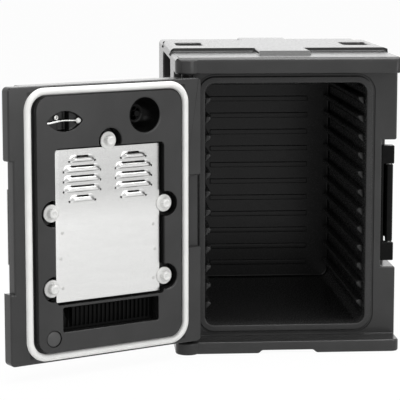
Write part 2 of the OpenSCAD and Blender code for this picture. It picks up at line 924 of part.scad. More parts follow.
module funnel(grow) {
    translate([vent_x, plug_y + past, vent_z]) rotate([90, 0, 0])
        cylinder(h = funnel_t + past + grow, r1 = funnel_r + grow, r2 = throat_r + grow);
    rod_along_y(vent_x, vent_z, vent_r + grow, outer_y - past, funnel_y + past);
}

// Every pocket and hole of the door, grown outwards for the skin around it
module door_cuts(grow) {
    top = plug_y + past;
    slab_y(rim_y - grow, top)
        rounded(-rim_w / 2 - grow, rim_w / 2 + grow, rim_z0 - grow, rim_z1 + grow, door_r);
    slab_y(pocket_y - grow, top)
        rounded(-pocket_w / 2 - grow, pocket_w / 2 + grow,
            heater_z - pocket_h / 2 - grow, heater_z + pocket_h / 2 + grow, door_r);
    slab_y(intake_y - grow, top)
        rounded(-intake_w / 2 - grow, intake_w / 2 + grow,
            intake_z1 - intake_h - grow, intake_z1 + grow, intake_r);
    box([-intake_w / 2 + intake_r - grow, intake_y - grow, intake_z1 - intake_r],
        [intake_w / 2 - intake_r + grow, rim_y + grow, heater_z - pocket_h / 2 + intake_r]);
    for (p = knobs) rod_along_y(p[0], p[1], knob_pocket_r + grow, knob_floor_y - grow, top);
    slab_y(probe_floor_y - grow, top) lens_outline(grow);
    slab_y(plug_y - probe_slot_t - grow, top) intersection() {
        lens_outline(grow);
        translate([probe_x - probe_slot_w / 2 - grow, door_z0])
            square([probe_slot_w + 2 * grow, door_z1 - door_z0]);
    }
    translate([probe_x + probe_l / 4, rod_y, probe_z]) rotate([0, 90, 0])
        cylinder(h = probe_l / 4 + 2 * eyelet_r + grow, r = rod_r + seat_gap + grow);
    funnel(grow);
    rod_along_y(fill_x, door_z0 + fill_z, fill_r + seat_gap + grow, plug_y - fill_t - grow, top);
    for (x = [dial_x, inlet_x])
        rod_along_y(x, terminal_z, lead_r + seat_gap + grow, outer_y - past, pocket_y + past);
    box([-door_x - past, inner_y - hinge_recess_t - grow, door_mid_z - hinge_recess_l / 2 - grow],
        [-door_x + hinge_recess_w + grow, inner_y + past, door_mid_z + hinge_recess_l / 2 + grow]);
    box([door_x - edge_w - grow, outer_y - past, door_z0 - past],
        [door_x + past, edge_y + grow, door_z1 + past]);
    box([edge_x - grow, outer_y - past, door_mid_z - edge_notch_h / 2 - grow],
        [door_x + past, inner_y + past, door_mid_z + edge_notch_h / 2 + grow]);
    rod_along_z(hinge_x, hinge_back, bush_r + run_gap + grow, door_z0 - past, door_z0 + bush_l + grow);
    rod_along_z(hinge_x, hinge_back, bush_r + run_gap + grow, door_z1 - bush_l - grow, door_z1 + past);
}

// Space between the door's skins
module door_void(gap) {
    inset = skin + gap;
    difference() {
        union() {
            door_block(inset);
            slab_y(inner_y - inset - past, plug_y - inset) plug_outline(inset);
        }
        door_cuts(inset);
    }
}

module door_shell() {
    color("#4a4a4a") on_door() difference() {
        union() {
            door_block(0);
            slab_y(inner_y - past, plug_y) plug_outline(0);
        }
        door_void(0);
        door_cuts(0);
    }
}

module door_foam() {
    color("#d8cfa8") on_door() door_void(seat_gap);
}

// Ring of the seal, in from its outer edge on both sides
module seal_ring(inset_out, inset_in) {
    difference() {
        rounded(-seal_x - seal_w + inset_out, seal_x + seal_w - inset_out,
            seal_z0 - seal_w + inset_out, seal_z1 + seal_w - inset_out, seal_r - inset_out);
        rounded(-seal_x - inset_in, seal_x + inset_in,
            seal_z0 - inset_in, seal_z1 + inset_in, seal_r - seal_w + inset_in);
    }
}

module door_gasket() {
    crown_in = (seal_w - seal_crown_w) / 2;
    color("#f0f0f0") on_door() {
        slab_y(inner_y, inner_y + seal_base_t) seal_ring(0, 0);
        slab_y(inner_y + seal_base_t - past, inner_y + seal_t) seal_ring(crown_in, crown_in);
    }
}

// Bush with its flange on the door's edge; up is 1 at the top and -1 at the bottom
module hinge_bush(edge_z, up) {
    flange_z = edge_z + up * (door_gap - seat_gap);
    end_z = edge_z - up * bush_l;
    difference() {
        union() {
            rod_along_z(hinge_x, hinge_back, bush_flange_r, min(edge_z, flange_z), max(edge_z, flange_z));
            rod_along_z(hinge_x, hinge_back, bush_r, min(end_z, edge_z), max(end_z, edge_z));
        }
        rod_along_z(hinge_x, hinge_back, pin_r + run_gap,
            min(end_z, flange_z) - past, max(end_z, flange_z) + past);
    }
}

module hinge_bush_top() {
    color("#1c1c1c") on_door() hinge_bush(door_z1, 1);
}

module hinge_bush_bottom() {
    color("#1c1c1c") on_door() hinge_bush(door_z0, -1);
}

module latch_keeper() {
    color("silver") on_door() difference() {
        box([edge_x - keeper_w, keeper_y, door_mid_z - keeper_h / 2],
            [edge_x, edge_y, door_mid_z + keeper_h / 2]);
        for (z = [-keeper_screw_rise, keeper_screw_rise])
            rod_along_y(keeper_screw_x, door_mid_z + z, screw_r / 2 + run_gap, keeper_y - past, edge_y + past);
    }
}

module keeper_screws() {
    color("silver") on_door() for (z = [-keeper_screw_rise, keeper_screw_rise]) {
        rod_along_y(keeper_screw_x, door_mid_z + z, keeper_head_r, keeper_y - screw_head_t / 2, keeper_y);
        rod_along_y(keeper_screw_x, door_mid_z + z, screw_r / 2, keeper_y, edge_y);
    }
}

module heater_tray() {
    half = tray_w / 2;
    color("#b8b8b8") on_door() difference() {
        union() {
            box([-half, pocket_y, tray_z0], [half, tray_y, tray_z1]);
            box([-half, pocket_y, tray_z0], [-half + sheet, pocket_y + tray_t, tray_z1]);
            box([half - sheet, pocket_y, tray_z0], [half, pocket_y + tray_t, tray_z1]);
        }
        for (x = [dial_x, inlet_x])
            rod_along_y(x, terminal_z, lead_r + seat_gap, pocket_y - past, tray_y + past);
    }
}

// Half ring that joins two legs of the element; up is 1 for an upper bend
module tube_bend(x, z, up) {
    translate([x, tube_y, z]) rotate([90, 0, 0]) rotate(up > 0 ? 0 : 180)
        rotate_extrude(angle = 180) translate([bend_r, 0]) circle(tube_r);
}

module heating_element() {
    color("#6e6e70") on_door() {
        for (side = [-1, 1]) {
            rod_along_z(side * tube_end_x, tube_y, tube_r, terminal_z1 - tube_seat, tube_z1);
            rod_along_z(side * bend_r, tube_y, tube_r, tube_z0, tube_z1);
            tube_bend(side * tube_pitch, tube_z1, 1);
        }
        tube_bend(0, tube_z0, -1);
    }
}

// Bars with a hole for each leg, on feet that stand on the tray
module element_saddles() {
    half = tube_end_x + 2 * tube_r + saddle_foot;
    color("#b8b8b8") on_door() for (z = [tube_z0 + saddle_low, tube_z1 - saddle_high]) {
        difference() {
            union() {
                box([-half, tube_y - saddle_t / 2, z - saddle_h / 2],
                    [half, tube_y + saddle_t / 2, z + saddle_h / 2]);
                for (side = [-1, 1])
                    box([side * half - (side > 0 ? saddle_foot : 0), tray_y, z - saddle_h / 2],
                        [side * half + (side < 0 ? saddle_foot : 0), tube_y, z + saddle_h / 2]);
            }
            for (leg = legs)
                rod_along_z(leg * tube_pitch, tube_y, tube_r + seat_gap, z - saddle_h, z + saddle_h);
        }
    }
}

module terminal_blocks() {
    color("#efe9dc") on_door() for (side = [-1, 1]) difference() {
        box([side * tube_end_x - terminal_w / 2, tray_y, terminal_z1 - terminal_h],
            [side * tube_end_x + terminal_w / 2, tray_y + terminal_t, terminal_z1]);
        rod_along_z(side * tube_end_x, tube_y, tube_r + run_gap, terminal_z1 - tube_seat, terminal_z1 + past);
    }
}

module thermal_cutout() {
    color("#202020") on_door() rod_along_y(0, terminal_z, cutout_r, tray_y, tray_y + cutout_t);
}

// Leads from the thermostat and the inlet straight through the door to the terminal blocks
module heater_leads() {
    color("#303030") on_door() {
        rod_along_y(dial_x, terminal_z, lead_r, housing_y + thermostat_t, tray_y);
        rod_along_y(inlet_x, terminal_z, lead_r, panel_y + inlet_t + inlet_wall, tray_y);
    }
}

// Raised louvre, open along its upper edge; grow below 0 gives the space under it
module louvre_solid(length, grow) {
    half = length / 2 + grow;
    rise = louvre_t + grow;
    intersection() {
        slab_x(-half, half) polygon([
            [cover_back_y, -louvre_h - grow], [cover_y, -louvre_h - grow],
            [cover_y + rise, 0], [cover_back_y, 0]
        ]);
        slab_y(cover_back_y - past, cover_y + louvre_t + past) polygon([
            [-half, -louvre_h - grow], [half, -louvre_h - grow],
            [half - louvre_slope, 0], [louvre_slope - half, 0]
        ]);
    }
}

module louvres(grow) {
    for (side = [-1, 1], row = [0 : louvre_rows - 1]) {
        length = (row == 0 || row == louvre_rows - 1) ? louvre_end_l : louvre_l;
        translate([side * louvre_x, 0, cover_z1 - louvre_top - row * louvre_pitch])
            louvre_solid(length, grow);
    }
}

// Round ears that the thumbscrews hold
module cover_ears() {
    for (p = knobs) rod_along_y(p[0], p[1], ear_r, cover_back_y, cover_y);
    for (z = knob_z) box([-knob_x, cover_back_y, z - ear_r], [knob_x, cover_y, z + ear_r]);
    box([-ear_r, cover_back_y, heater_z], [ear_r, cover_y, knob_top_z]);
}

module heater_cover() {
    half = cover_w / 2;
    color("#d0d0d0") on_door() difference() {
        union() {
            box([-half, cover_back_y, cover_z0], [half, cover_y, cover_z1]);
            for (side = [-1, 1]) {
                edge = side * (half - sheet / 2);
                box([edge - sheet / 2, cover_y - cover_flange, cover_z0],
                    [edge + sheet / 2, cover_y, cover_z1]);
            }
            cover_ears();
            louvres(0);
        }
        louvres(-sheet);
        for (p = knobs) rod_along_y(p[0], p[1], shank_r + seat_gap, cover_back_y - past, cover_y + past);
        rivet_rods(rivet_r / 2 + run_gap, cover_back_y - past, cover_y + past);
    }
}

module rivet_rods(r, y0, y1) {
    for (side = [-1, 1], i = [0 : len(rivet_rise) - 1])
        rod_along_y(side * (rivet_x + rivet_shift[i]), cover_z0 + rivet_rise[i], r, y0, y1);
}

module cover_posts() {
    color("silver") on_door() for (p = knobs) difference() {
        rod_along_y(p[0], p[1], post_r, knob_floor_y, cover_back_y);
        rod_along_y(p[0], p[1], shank_r + run_gap, cover_back_y - shank_l - sheet, cover_back_y + past);
    }
}

module cover_thumbscrews() {
    color("#f2f2f0") on_door() for (p = knobs) {
        rod_along_y(p[0], p[1], knob_flange_r, cover_y, cover_y + knob_flange_t);
        rod_along_y(p[0], p[1], knob_r, cover_y, cover_y + knob_flange_t + knob_l);
        rod_along_y(p[0], p[1], shank_r, cover_back_y - shank_l, cover_y + sheet);
    }
}

module cover_rivets() {
    color("silver") on_door() {
        rivet_rods(rivet_r, cover_y, cover_y + rivet_t);
        rivet_rods(rivet_r / 2, cover_back_y, cover_y + rivet_t / 2);
    }
}

// Upright bars between a lower and an upper rail, across the intake slot
module intake_grille() {
    half = intake_w / 2 - seat_gap;
    z0 = intake_z1 - intake_h + seat_gap;
    z1 = intake_z1 - seat_gap;
    bar_w = 3;
    bar_pitch = 10;
    rail_h = 5;
    y0 = intake_y + bar_pitch;
    y1 = y0 + bar_w;
    last = floor((half - intake_r) / bar_pitch);
    color("#2c2c2c") on_door() {
        box([intake_r - half, y0, z0], [half - intake_r, y1, z0 + rail_h]);
        box([intake_r - half, y0, z1 - rail_h], [half - intake_r, y1, z1]);
        for (i = [-last : last])
            box([i * bar_pitch - bar_w / 2, y0, z0], [i * bar_pitch + bar_w / 2, y1, z1]);
    }
}

// Rod across the pocket, with a lug at its end, and the clip that holds it
module temp_probe() {
    rod_start = eyelet_x + eyelet_r - past;
    rod_end = probe_x + probe_l / 2 + eyelet_r;
    color("#e4e4e4") on_door() difference() {
        union() {
            translate([rod_start, rod_y, probe_z]) rotate([0, 90, 0])
                cylinder(h = rod_end - rod_start, r = rod_r);
            rod_along_y(eyelet_x, probe_z, eyelet_r, rod_y - probe_lug_t / 2, rod_y + probe_lug_t / 2);
        }
        rod_along_y(eyelet_x, probe_z, probe_screw_r + run_gap, rod_y - eyelet_r, rod_y + eyelet_r);
    }
}

// Lug screw on its pillar, and the clip's pillar beside the rod
module probe_screws() {
    lug_y0 = rod_y - probe_lug_t / 2;
    lug_y1 = rod_y + probe_lug_t / 2;
    color("silver") on_door() {
        rod_along_y(eyelet_x, probe_z, probe_head_r, probe_floor_y, lug_y0);
        rod_along_y(eyelet_x, probe_z, probe_screw_r, lug_y0, lug_y1);
        rod_along_y(eyelet_x, probe_z, probe_head_r, lug_y1, lug_y1 + probe_lug_t / 2);
        rod_along_y(clip_x, probe_z + clip_rise, probe_head_r, probe_floor_y, rod_y - rod_r);
    }
}

module door_fill_plug() {
    color("#505050") on_door() rod_along_y(fill_x, door_z0 + fill_z, fill_r, plug_y - fill_t, plug_y);
}

// Ring in the vent hole with a hub on three spokes for the cap's stem
module vent_guide() {
    ring_r = vent_r - seat_gap;
    ring_in = ring_r - skin / 2;
    spoke_w = 3;
    color("#202020") on_door() slab_y(guide_y, guide_y + guide_t)
        translate([vent_x, vent_z]) difference() {
            union() {
                difference() {
                    circle(ring_r);
                    circle(ring_in);
                }
                circle(guide_hub_r);
                for (turn = [0, 120, 240]) rotate(turn)
                    translate([stem_r + past, -spoke_w / 2]) square([ring_in - stem_r, spoke_w]);
            }
            circle(stem_r + run_gap);
        }
}

// Cap over the hole, on a stem with a stop that holds it at the end of its travel
module vent_cap() {
    cap_y1 = outer_y - seat_gap;
    stop_y = guide_y + guide_t + cap_travel + seat_gap;
    color("#181818") on_door() {
        rod_along_y(vent_x, vent_z, cap_r, cap_y1 - cap_t, cap_y1);
        rod_along_y(vent_x, vent_z, stem_r, cap_y1 - cap_t, stop_y + stop_t);
        rod_along_y(vent_x, vent_z, stop_r, stop_y, stop_y + stop_t);
    }
}

module housing_outline(inset) {
    rounded(inset - housing_w / 2, housing_w / 2 - inset,
        housing_mid_z - housing_h / 2 + inset, housing_mid_z + housing_h / 2 - inset, housing_r - inset);
}

module control_housing() {
    color("#303030") on_door() slab_y(housing_y, outer_y) difference() {
        housing_outline(0);
        housing_outline(housing_wall);
    }
}

// Box in the panel's own place, given by its middle and its size in X and Z
module panel_box(x, z, w, h, y0, y1) {
    box([x - w / 2, y0, housing_mid_z + z - h / 2], [x + w / 2, y1, housing_mid_z + z + h / 2]);
}

module panel_screw_rods(r, y0, y1) {
    for (x = [-panel_screw_x, panel_screw_x], z = [-panel_screw_z, panel_screw_z])
        rod_along_y(x, housing_mid_z + z, r, y0, y1);
}

module control_panel() {
    color("#3a3a3a") on_door() difference() {
        slab_y(panel_y, housing_y) housing_outline(0);
        panel_box(0, switch_z, switch_w + 2 * seat_gap, switch_h + 2 * seat_gap,
            panel_y - past, housing_y + past);
        panel_box(inlet_x, terminal_z - housing_mid_z, inlet_outer_w + 2 * seat_gap,
            inlet_outer_h + 2 * seat_gap, panel_y - past, housing_y + past);
        rod_along_y(dial_x, terminal_z, shaft_r + seat_gap, panel_y - past, housing_y + past);
        rod_along_y(0, housing_mid_z - lamp_z, lamp_r + seat_gap, panel_y - past, housing_y + past);
        panel_screw_rods(screw_r / 2 + run_gap, panel_y - past, housing_y + past);
    }
}

module panel_screws() {
    color("silver") on_door() {
        panel_screw_rods(screw_r, panel_y - screw_head_t / 2, panel_y);
        panel_screw_rods(screw_r / 2, panel_y, housing_y);
    }
}

module thermostat_body() {
    color("#8a8a8a") on_door() {
        box([dial_x - thermostat_w / 2, housing_y, terminal_z - thermostat_w / 2],
            [dial_x + thermostat_w / 2, housing_y + thermostat_t, terminal_z + thermostat_w / 2]);
        rod_along_y(dial_x, terminal_z, shaft_r, panel_y - dial_t / 2, housing_y);
    }
}

// Round knob with a raised pointer, on the thermostat's shaft
module thermostat_knob() {
    y1 = panel_y - dial_gap;
    pointer_w = 4;
    pointer_t = 2;
    color("#151515") on_door() difference() {
        union() {
            rod_along_y(dial_x, terminal_z, dial_r, y1 - dial_t, y1);
            box([dial_x - pointer_w / 2, y1 - dial_t - pointer_t, terminal_z],
                [dial_x + pointer_w / 2, y1 - dial_t + past, terminal_z + dial_r - pointer_t]);
        }
        rod_along_y(dial_x, terminal_z, shaft_r + run_gap, y1 - dial_t / 2 - dial_gap, y1 + past);
    }
}

// Frame snapped into the panel, with a bezel in front and pivot holes for the rocker
module switch_frame() {
    open_w = rocker_w + 2 * rocker_side_gap;
    open_h = rocker_h + 2 * rocker_end_gap;
    color("#0c0c0c") on_door() difference() {
        union() {
            panel_box(0, switch_z, switch_w, switch_h, panel_y - bezel_t, housing_y + frame_t);
            panel_box(0, switch_z, switch_w + 2 * frame_rim, switch_h + 2 * frame_rim,
                panel_y - bezel_t, panel_y);
        }
        panel_box(0, switch_z, open_w, open_h, panel_y - bezel_t - past, housing_y + frame_t - frame_wall);
        rocker_axle(switch_w + 2 * frame_rim, rocker_pin_r + run_gap);
    }
}

module rocker_axle(length, r) {
    translate([-length / 2, rocker_pivot_y, housing_mid_z + switch_z]) rotate([0, 90, 0])
        cylinder(h = length, r = r);
}

module power_switch() {
    color("#a01818") on_door() {
        panel_box(0, switch_z, rocker_w, rocker_h, rocker_pivot_y - rocker_t, rocker_pivot_y);
        rocker_axle(rocker_w, rocker_t / 3);
        rocker_axle(switch_w - frame_wall / 2, rocker_pin_r);
    }
}

module pilot_lamp() {
    lens_t = 3;
    color("#e07818") on_door() {
        rod_along_y(0, housing_mid_z - lamp_z, lamp_r, panel_y, housing_y + thermostat_t);
        rod_along_y(0, housing_mid_z - lamp_z, lamp_r + frame_wall, panel_y - lens_t, panel_y);
    }
}

// Socket for a detachable mains lead, with three contact blades
module power_inlet() {
    z = terminal_z - housing_mid_z;
    blade_w = 2;
    blade_h = 4;
    blade_x = 7;
    blade_rise = 2;
    blade_z = [-blade_rise, blade_rise, -blade_rise];
    back = panel_y + inlet_t;
    color("#0e0e0e") on_door() {
        difference() {
            union() {
                panel_box(inlet_x, z, inlet_outer_w, inlet_outer_h, panel_y, back + inlet_wall);
                panel_box(inlet_x, z, inlet_outer_w + 2 * frame_rim, inlet_outer_h + 2 * frame_rim,
                    panel_y - bezel_t, panel_y);
            }
            panel_box(inlet_x, z, inlet_w, inlet_h, panel_y - bezel_t - past, back);
        }
        for (i = [0 : 2])
            panel_box(inlet_x + (i - 1) * blade_x, z + blade_z[i], blade_w, blade_h, panel_y, back + past);
    }
}

outer_shell();
inner_liner();
left_runners();
right_runners();
rear_ribs();
cabinet_foam();
rear_fill_plugs();
hinge_pin_top();
hinge_pin_bottom();
latch_base();
latch_base_screws();
latch_pin();
latch_lever();
door_shell();
door_foam();
door_gasket();
hinge_bush_top();
hinge_bush_bottom();
latch_keeper();
keeper_screws();
heater_tray();
heating_element();
element_saddles();
terminal_blocks();
thermal_cutout();
heater_leads();
heater_cover();
cover_posts();
cover_thumbscrews();
cover_rivets();
intake_grille();
temp_probe();
probe_screws();
door_fill_plug();
vent_guide();
vent_cap();
control_housing();
control_panel();
panel_screws();
thermostat_body();
thermostat_knob();
switch_frame();
power_switch();
pilot_lamp();
power_inlet();
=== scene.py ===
"""Dresses the hot cupboard: an insulated moulded cabinet with pan runners, and its heated, open door."""

import json
from math import atan2, cos, pi, radians

import bmesh
import bpy
from mathutils import Matrix, Vector
from mathutils.bvhtree import BVHTree


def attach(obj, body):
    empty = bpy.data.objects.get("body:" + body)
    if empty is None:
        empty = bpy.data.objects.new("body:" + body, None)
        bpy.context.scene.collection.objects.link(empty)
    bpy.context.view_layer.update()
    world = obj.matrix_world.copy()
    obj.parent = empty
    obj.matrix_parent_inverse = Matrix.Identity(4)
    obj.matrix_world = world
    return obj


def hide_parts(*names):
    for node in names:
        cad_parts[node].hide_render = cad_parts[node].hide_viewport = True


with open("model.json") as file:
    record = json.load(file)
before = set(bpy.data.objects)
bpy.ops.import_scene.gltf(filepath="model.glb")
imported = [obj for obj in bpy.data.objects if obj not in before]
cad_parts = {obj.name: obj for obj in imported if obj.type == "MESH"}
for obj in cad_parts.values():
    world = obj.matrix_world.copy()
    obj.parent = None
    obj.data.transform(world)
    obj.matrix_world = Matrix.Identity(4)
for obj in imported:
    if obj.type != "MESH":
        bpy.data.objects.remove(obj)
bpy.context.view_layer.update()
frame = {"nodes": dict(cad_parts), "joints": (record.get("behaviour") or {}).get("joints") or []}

# Camera. A long lens stands a little left of the middle, about 4 m in front and 0.9 m above the floor,
# and looks down on the open cupboard.
focal_mm, film_mm, sight_m, tilt_down, turn_right = 165.2, 36, 200, 8.275, 4.184
lens = bpy.data.cameras.new("studio_camera")
lens.lens, lens.sensor_width, lens.clip_end = focal_mm, film_mm, sight_m
camera = bpy.data.objects.new("studio_camera", lens)
camera.location = (-0.4632, -4.1175, 0.8807)
camera.rotation_euler = (radians(90 - tilt_down), 0, radians(-turn_right))
bpy.context.scene.collection.objects.link(camera)
bpy.context.scene.camera = camera

# Studio. A white room: a pale floor that runs out of sight, soft light from all round, and four large
# softboxes. The view transform is plain, so colours come out about as they are written.
ambient, floor_r, white_share, aim = 0.5, 60, 0.96, Vector((-0.1, 0, 0.35))
bpy.context.scene.view_settings.view_transform = "Standard"


def linear(code):
    """An sRGB hex colour as the linear values that a shader takes."""
    parts = [int(code[i:i + 2], 16) / 255 for i in (1, 3, 5)]
    return [p / 12.92 if p <= 0.04045 else ((p + 0.055) / 1.055) ** 2.4 for p in parts] + [1]


def add(tree, kind, inputs=None, **settings):
    """Adds one shader node. An input is a value, or a node with its output's name or number."""
    made = tree.nodes.new("ShaderNode" + kind)
    for key, value in settings.items():
        setattr(made, key, value)
    for key, value in (inputs or {}).items():
        if isinstance(value, tuple) and isinstance(value[0], bpy.types.Node):
            tree.links.new(value[0].outputs[value[1]], made.inputs[key])
        else:
            made.inputs[key].default_value = value
    return made


def seen_ray(tree):
    """1 where the eye, a reflection or a see-through piece looks at the surface, and 0 for its light."""
    path = add(tree, "LightPath")
    eye = add(tree, "Math", {0: (path, "Is Camera Ray"), 1: (path, "Is Glossy Ray")}, operation="MAXIMUM")
    return add(tree, "Math", {0: (eye, "Value"), 1: (path, "Is Transmission Ray")}, operation="MAXIMUM")


world = bpy.data.worlds.new("white_studio")
bpy.context.scene.world = world
world.use_nodes = True
room = world.node_tree
room.nodes.clear()
room_white = add(room, "Background", {"Color": linear("#ffffff"), "Strength": 1.0})
room_light = add(room, "Background", {"Color": linear("#ffffff"), "Strength": ambient})
room_mix = add(room, "MixShader", {0: (seen_ray(room), "Value"), 1: (room_light, "Background"),
                                   2: (room_white, "Background")})
add(room, "OutputWorld", {"Surface": (room_mix, "Shader")})

bpy.ops.object.select_all(action="DESELECT")
bpy.ops.mesh.primitive_circle_add(vertices=96, radius=floor_r, fill_type="NGON", location=(0, 0, 0))
floor = bpy.context.object
floor.name = "studio_floor"
# Matt white paint. Most of what the eye sees is plain white, so the shadow stays but is faint
floor_paint = bpy.data.materials.new("matt_white_floor")
floor_paint.use_nodes = True
paint = floor_paint.node_tree
paint.nodes.clear()
floor_matt = add(paint, "BsdfDiffuse", {"Color": linear("#e8e8e8")})
floor_glow = add(paint, "Emission", {"Color": linear("#ffffff"), "Strength": 1.0})
floor_share = add(paint, "Math", {0: (seen_ray(paint), "Value"), 1: white_share}, operation="MULTIPLY")
floor_mix = add(paint, "MixShader", {0: (floor_share, "Value"), 1: (floor_matt, "BSDF"),
                                     2: (floor_glow, "Emission")})
add(paint, "OutputMaterial", {"Surface": (floor_mix, "Shader")})
floor.data.materials.append(floor_paint)

# Each softbox: place, width, height and watts; all look at the middle of the cupboard
for name, place, wide, high, watts in (("key_softbox", (-2.0, -3.2, 2.6), 2.0, 2.0, 34),
                                       ("fill_softbox", (2.4, -3.2, 1.2), 2.0, 2.0, 42),
                                       ("top_softbox", (0.2, -0.2, 3.0), 2.0, 2.0, 100),
                                       ("rear_softbox", (0.6, 3.6, 1.5), 5.0, 1.8, 13)):
    lamp = bpy.data.lights.new(name, "AREA")
    lamp.shape, lamp.size, lamp.size_y, lamp.energy = "RECTANGLE", wide, high, watts
    softbox = bpy.data.objects.new(name, lamp)
    softbox.location = place
    softbox.rotation_euler = (aim - Vector(place)).to_track_quat("-Z", "Y").to_euler()
    bpy.context.scene.collection.objects.link(softbox)

# Outer shell of the cabinet: one rotomoulded skin of charcoal polyethylene with a plinth, a cornice, grips
# and a recess for the latch. The mould leaves every edge rounded and the skin finely grained.
skin_round, smooth_below = 0.004, radians(40)


def flat_regions(bm):
    """For each face, the number of the flat region that it belongs to, and each region's border edges."""
    same_way = 0.99999
    bm.faces.index_update()
    region, borders = {}, []
    for start in bm.faces:
        if start.index in region:
            continue
        number, members, waiting = len(borders), [], [start]
        region[start.index] = number
        while waiting:
            face = waiting.pop()
            members.append(face)
            for other in (linked for edge in face.edges for linked in edge.link_faces):
                if other.index not in region and other.normal.dot(start.normal) > same_way:
                    region[other.index] = number
                    waiting.append(other)
        borders.append([edge for face in members for edge in face.edges
                        if any(region.get(other.index) != number for other in edge.link_faces)])
    return region, borders


def depth_behind(edge, normal, inside, border):
    """How deep a flat region is behind one of its border edges, in metres, and 1 where nothing ends it."""
    hair, no_length = 2e-5, 1e-9
    a, b = edge.verts[0].co, edge.verts[1].co
    along = (b - a).normalized()
    length, inward = (b - a).length, normal.cross(along)
    if inward.dot(inside - a) < 0:
        inward = -inward
    least = 1.0
    for other in border:
        if other is edge:
            continue
        p, q = other.verts[0].co - a, other.verts[1].co - a
        p_along, q_along, p_deep, q_deep = p.dot(along), q.dot(along), p.dot(inward), q.dot(inward)
        if p_along > q_along:
            p_along, q_along, p_deep, q_deep = q_along, p_along, q_deep, p_deep
        low, high = max(p_along, 0.0), min(q_along, length)
        if high < low:
            continue
        ends = [p_deep, q_deep]
        if q_along - p_along > no_length:
            slope = (q_deep - p_deep) / (q_along - p_along)
            ends = [p_deep + (x - p_along) * slope for x in (low, high)]
        near, far = min(ends), max(ends)
        if far < hair:
            continue
        # A neighbour that turns away at its shared end only limits by its own length
        shared = set(other.verts) & set(edge.verts)
        least = min(least, near if near > hair and not shared else far)
    return least


def softened(node, name, radius, segments=2):
    """A merged copy of a CAD node, its sharp edges rounded to radius or to what its narrow faces allow."""
    sharp, face_share, runs_on, strayed = radians(28), 0.42, -0.8, 0.75
    same_point, same_plane = 2e-6, radians(0.3)
    bpy.ops.object.select_all(action="DESELECT")
    piece = bpy.data.objects.new(name, frame["nodes"][node].data.copy())
    piece.data.materials.clear()
    bpy.context.scene.collection.objects.link(piece)
    bpy.context.view_layer.objects.active = piece
    piece.select_set(True)
    bpy.ops.object.mode_set(mode="EDIT")
    bpy.ops.mesh.select_all(action="SELECT")
    bpy.ops.mesh.remove_doubles(threshold=same_point)
    bpy.ops.mesh.dissolve_limited(angle_limit=same_plane)
    bpy.ops.object.mode_set(mode="OBJECT")
    bm = bmesh.new()
    bm.from_mesh(piece.data)
    bm.normal_update()
    region, borders = flat_regions(bm)
    room_at = {}
    for edge in bm.edges:
        if len(edge.link_faces) == 2 and edge.calc_face_angle(0) >= sharp:
            room_at[edge.index] = min(face_share * depth_behind(edge, face.normal, face.calc_center_median(),
                                                                borders[region[face.index]])
                                      for face in edge.link_faces)
    # Edges that run on into each other share the least width of their chain
    bm.edges.ensure_lookup_table()
    width, seen = {}, set()
    for number in room_at:
        if number in seen:
            continue
        chain, waiting = [], [number]
        seen.add(number)
        while waiting:
            edge = bm.edges[waiting.pop()]
            chain.append(edge.index)
            for vert in edge.verts:
                linked = [e for e in vert.link_edges if e.index in room_at and e is not edge]
                if len(linked) == 1 and linked[0].index not in seen:
                    a = edge.other_vert(vert).co - vert.co
                    b = linked[0].other_vert(vert).co - vert.co
                    if a.length and b.length and a.normalized().dot(b.normalized()) < runs_on:
                        seen.add(linked[0].index)
                        waiting.append(linked[0].index)
        least = min(radius, min(room_at[i] for i in chain))
        width.update((i, least) for i in chain)
    weights = piece.data.attributes.new("bevel_weight_edge", "FLOAT", "EDGE")
    values = [width.get(edge.index, 0.0) / radius for edge in bm.edges]
    bm.free()
    weights.data.foreach_set("value", values)
    rounding = piece.modifiers.new("rounded_edges", "BEVEL")
    rounding.width, rounding.segments, rounding.limit_method = radius, segments, "WEIGHT"
    rounding.use_clamp_overlap = False
    solid = BVHTree.FromPolygons([v.co for v in piece.data.vertices],
                                 [p.vertices for p in piece.data.polygons])
    bpy.ops.object.modifier_apply(modifier=rounding.name)
    # A rounding that ends in a tight corner can throw a point off the surface, and it goes back there
    for vert in piece.data.vertices:
        near, _, _, off = solid.find_nearest(vert.co)
        if off > strayed * radius:
            vert.co = near
    bpy.ops.object.shade_smooth_by_angle(angle=smooth_below)
    even = piece.modifiers.new("flat_faces_stay_flat", "WEIGHTED_NORMAL")
    even.keep_sharp = True
    bpy.ops.object.modifier_apply(modifier=even.name)
    return piece


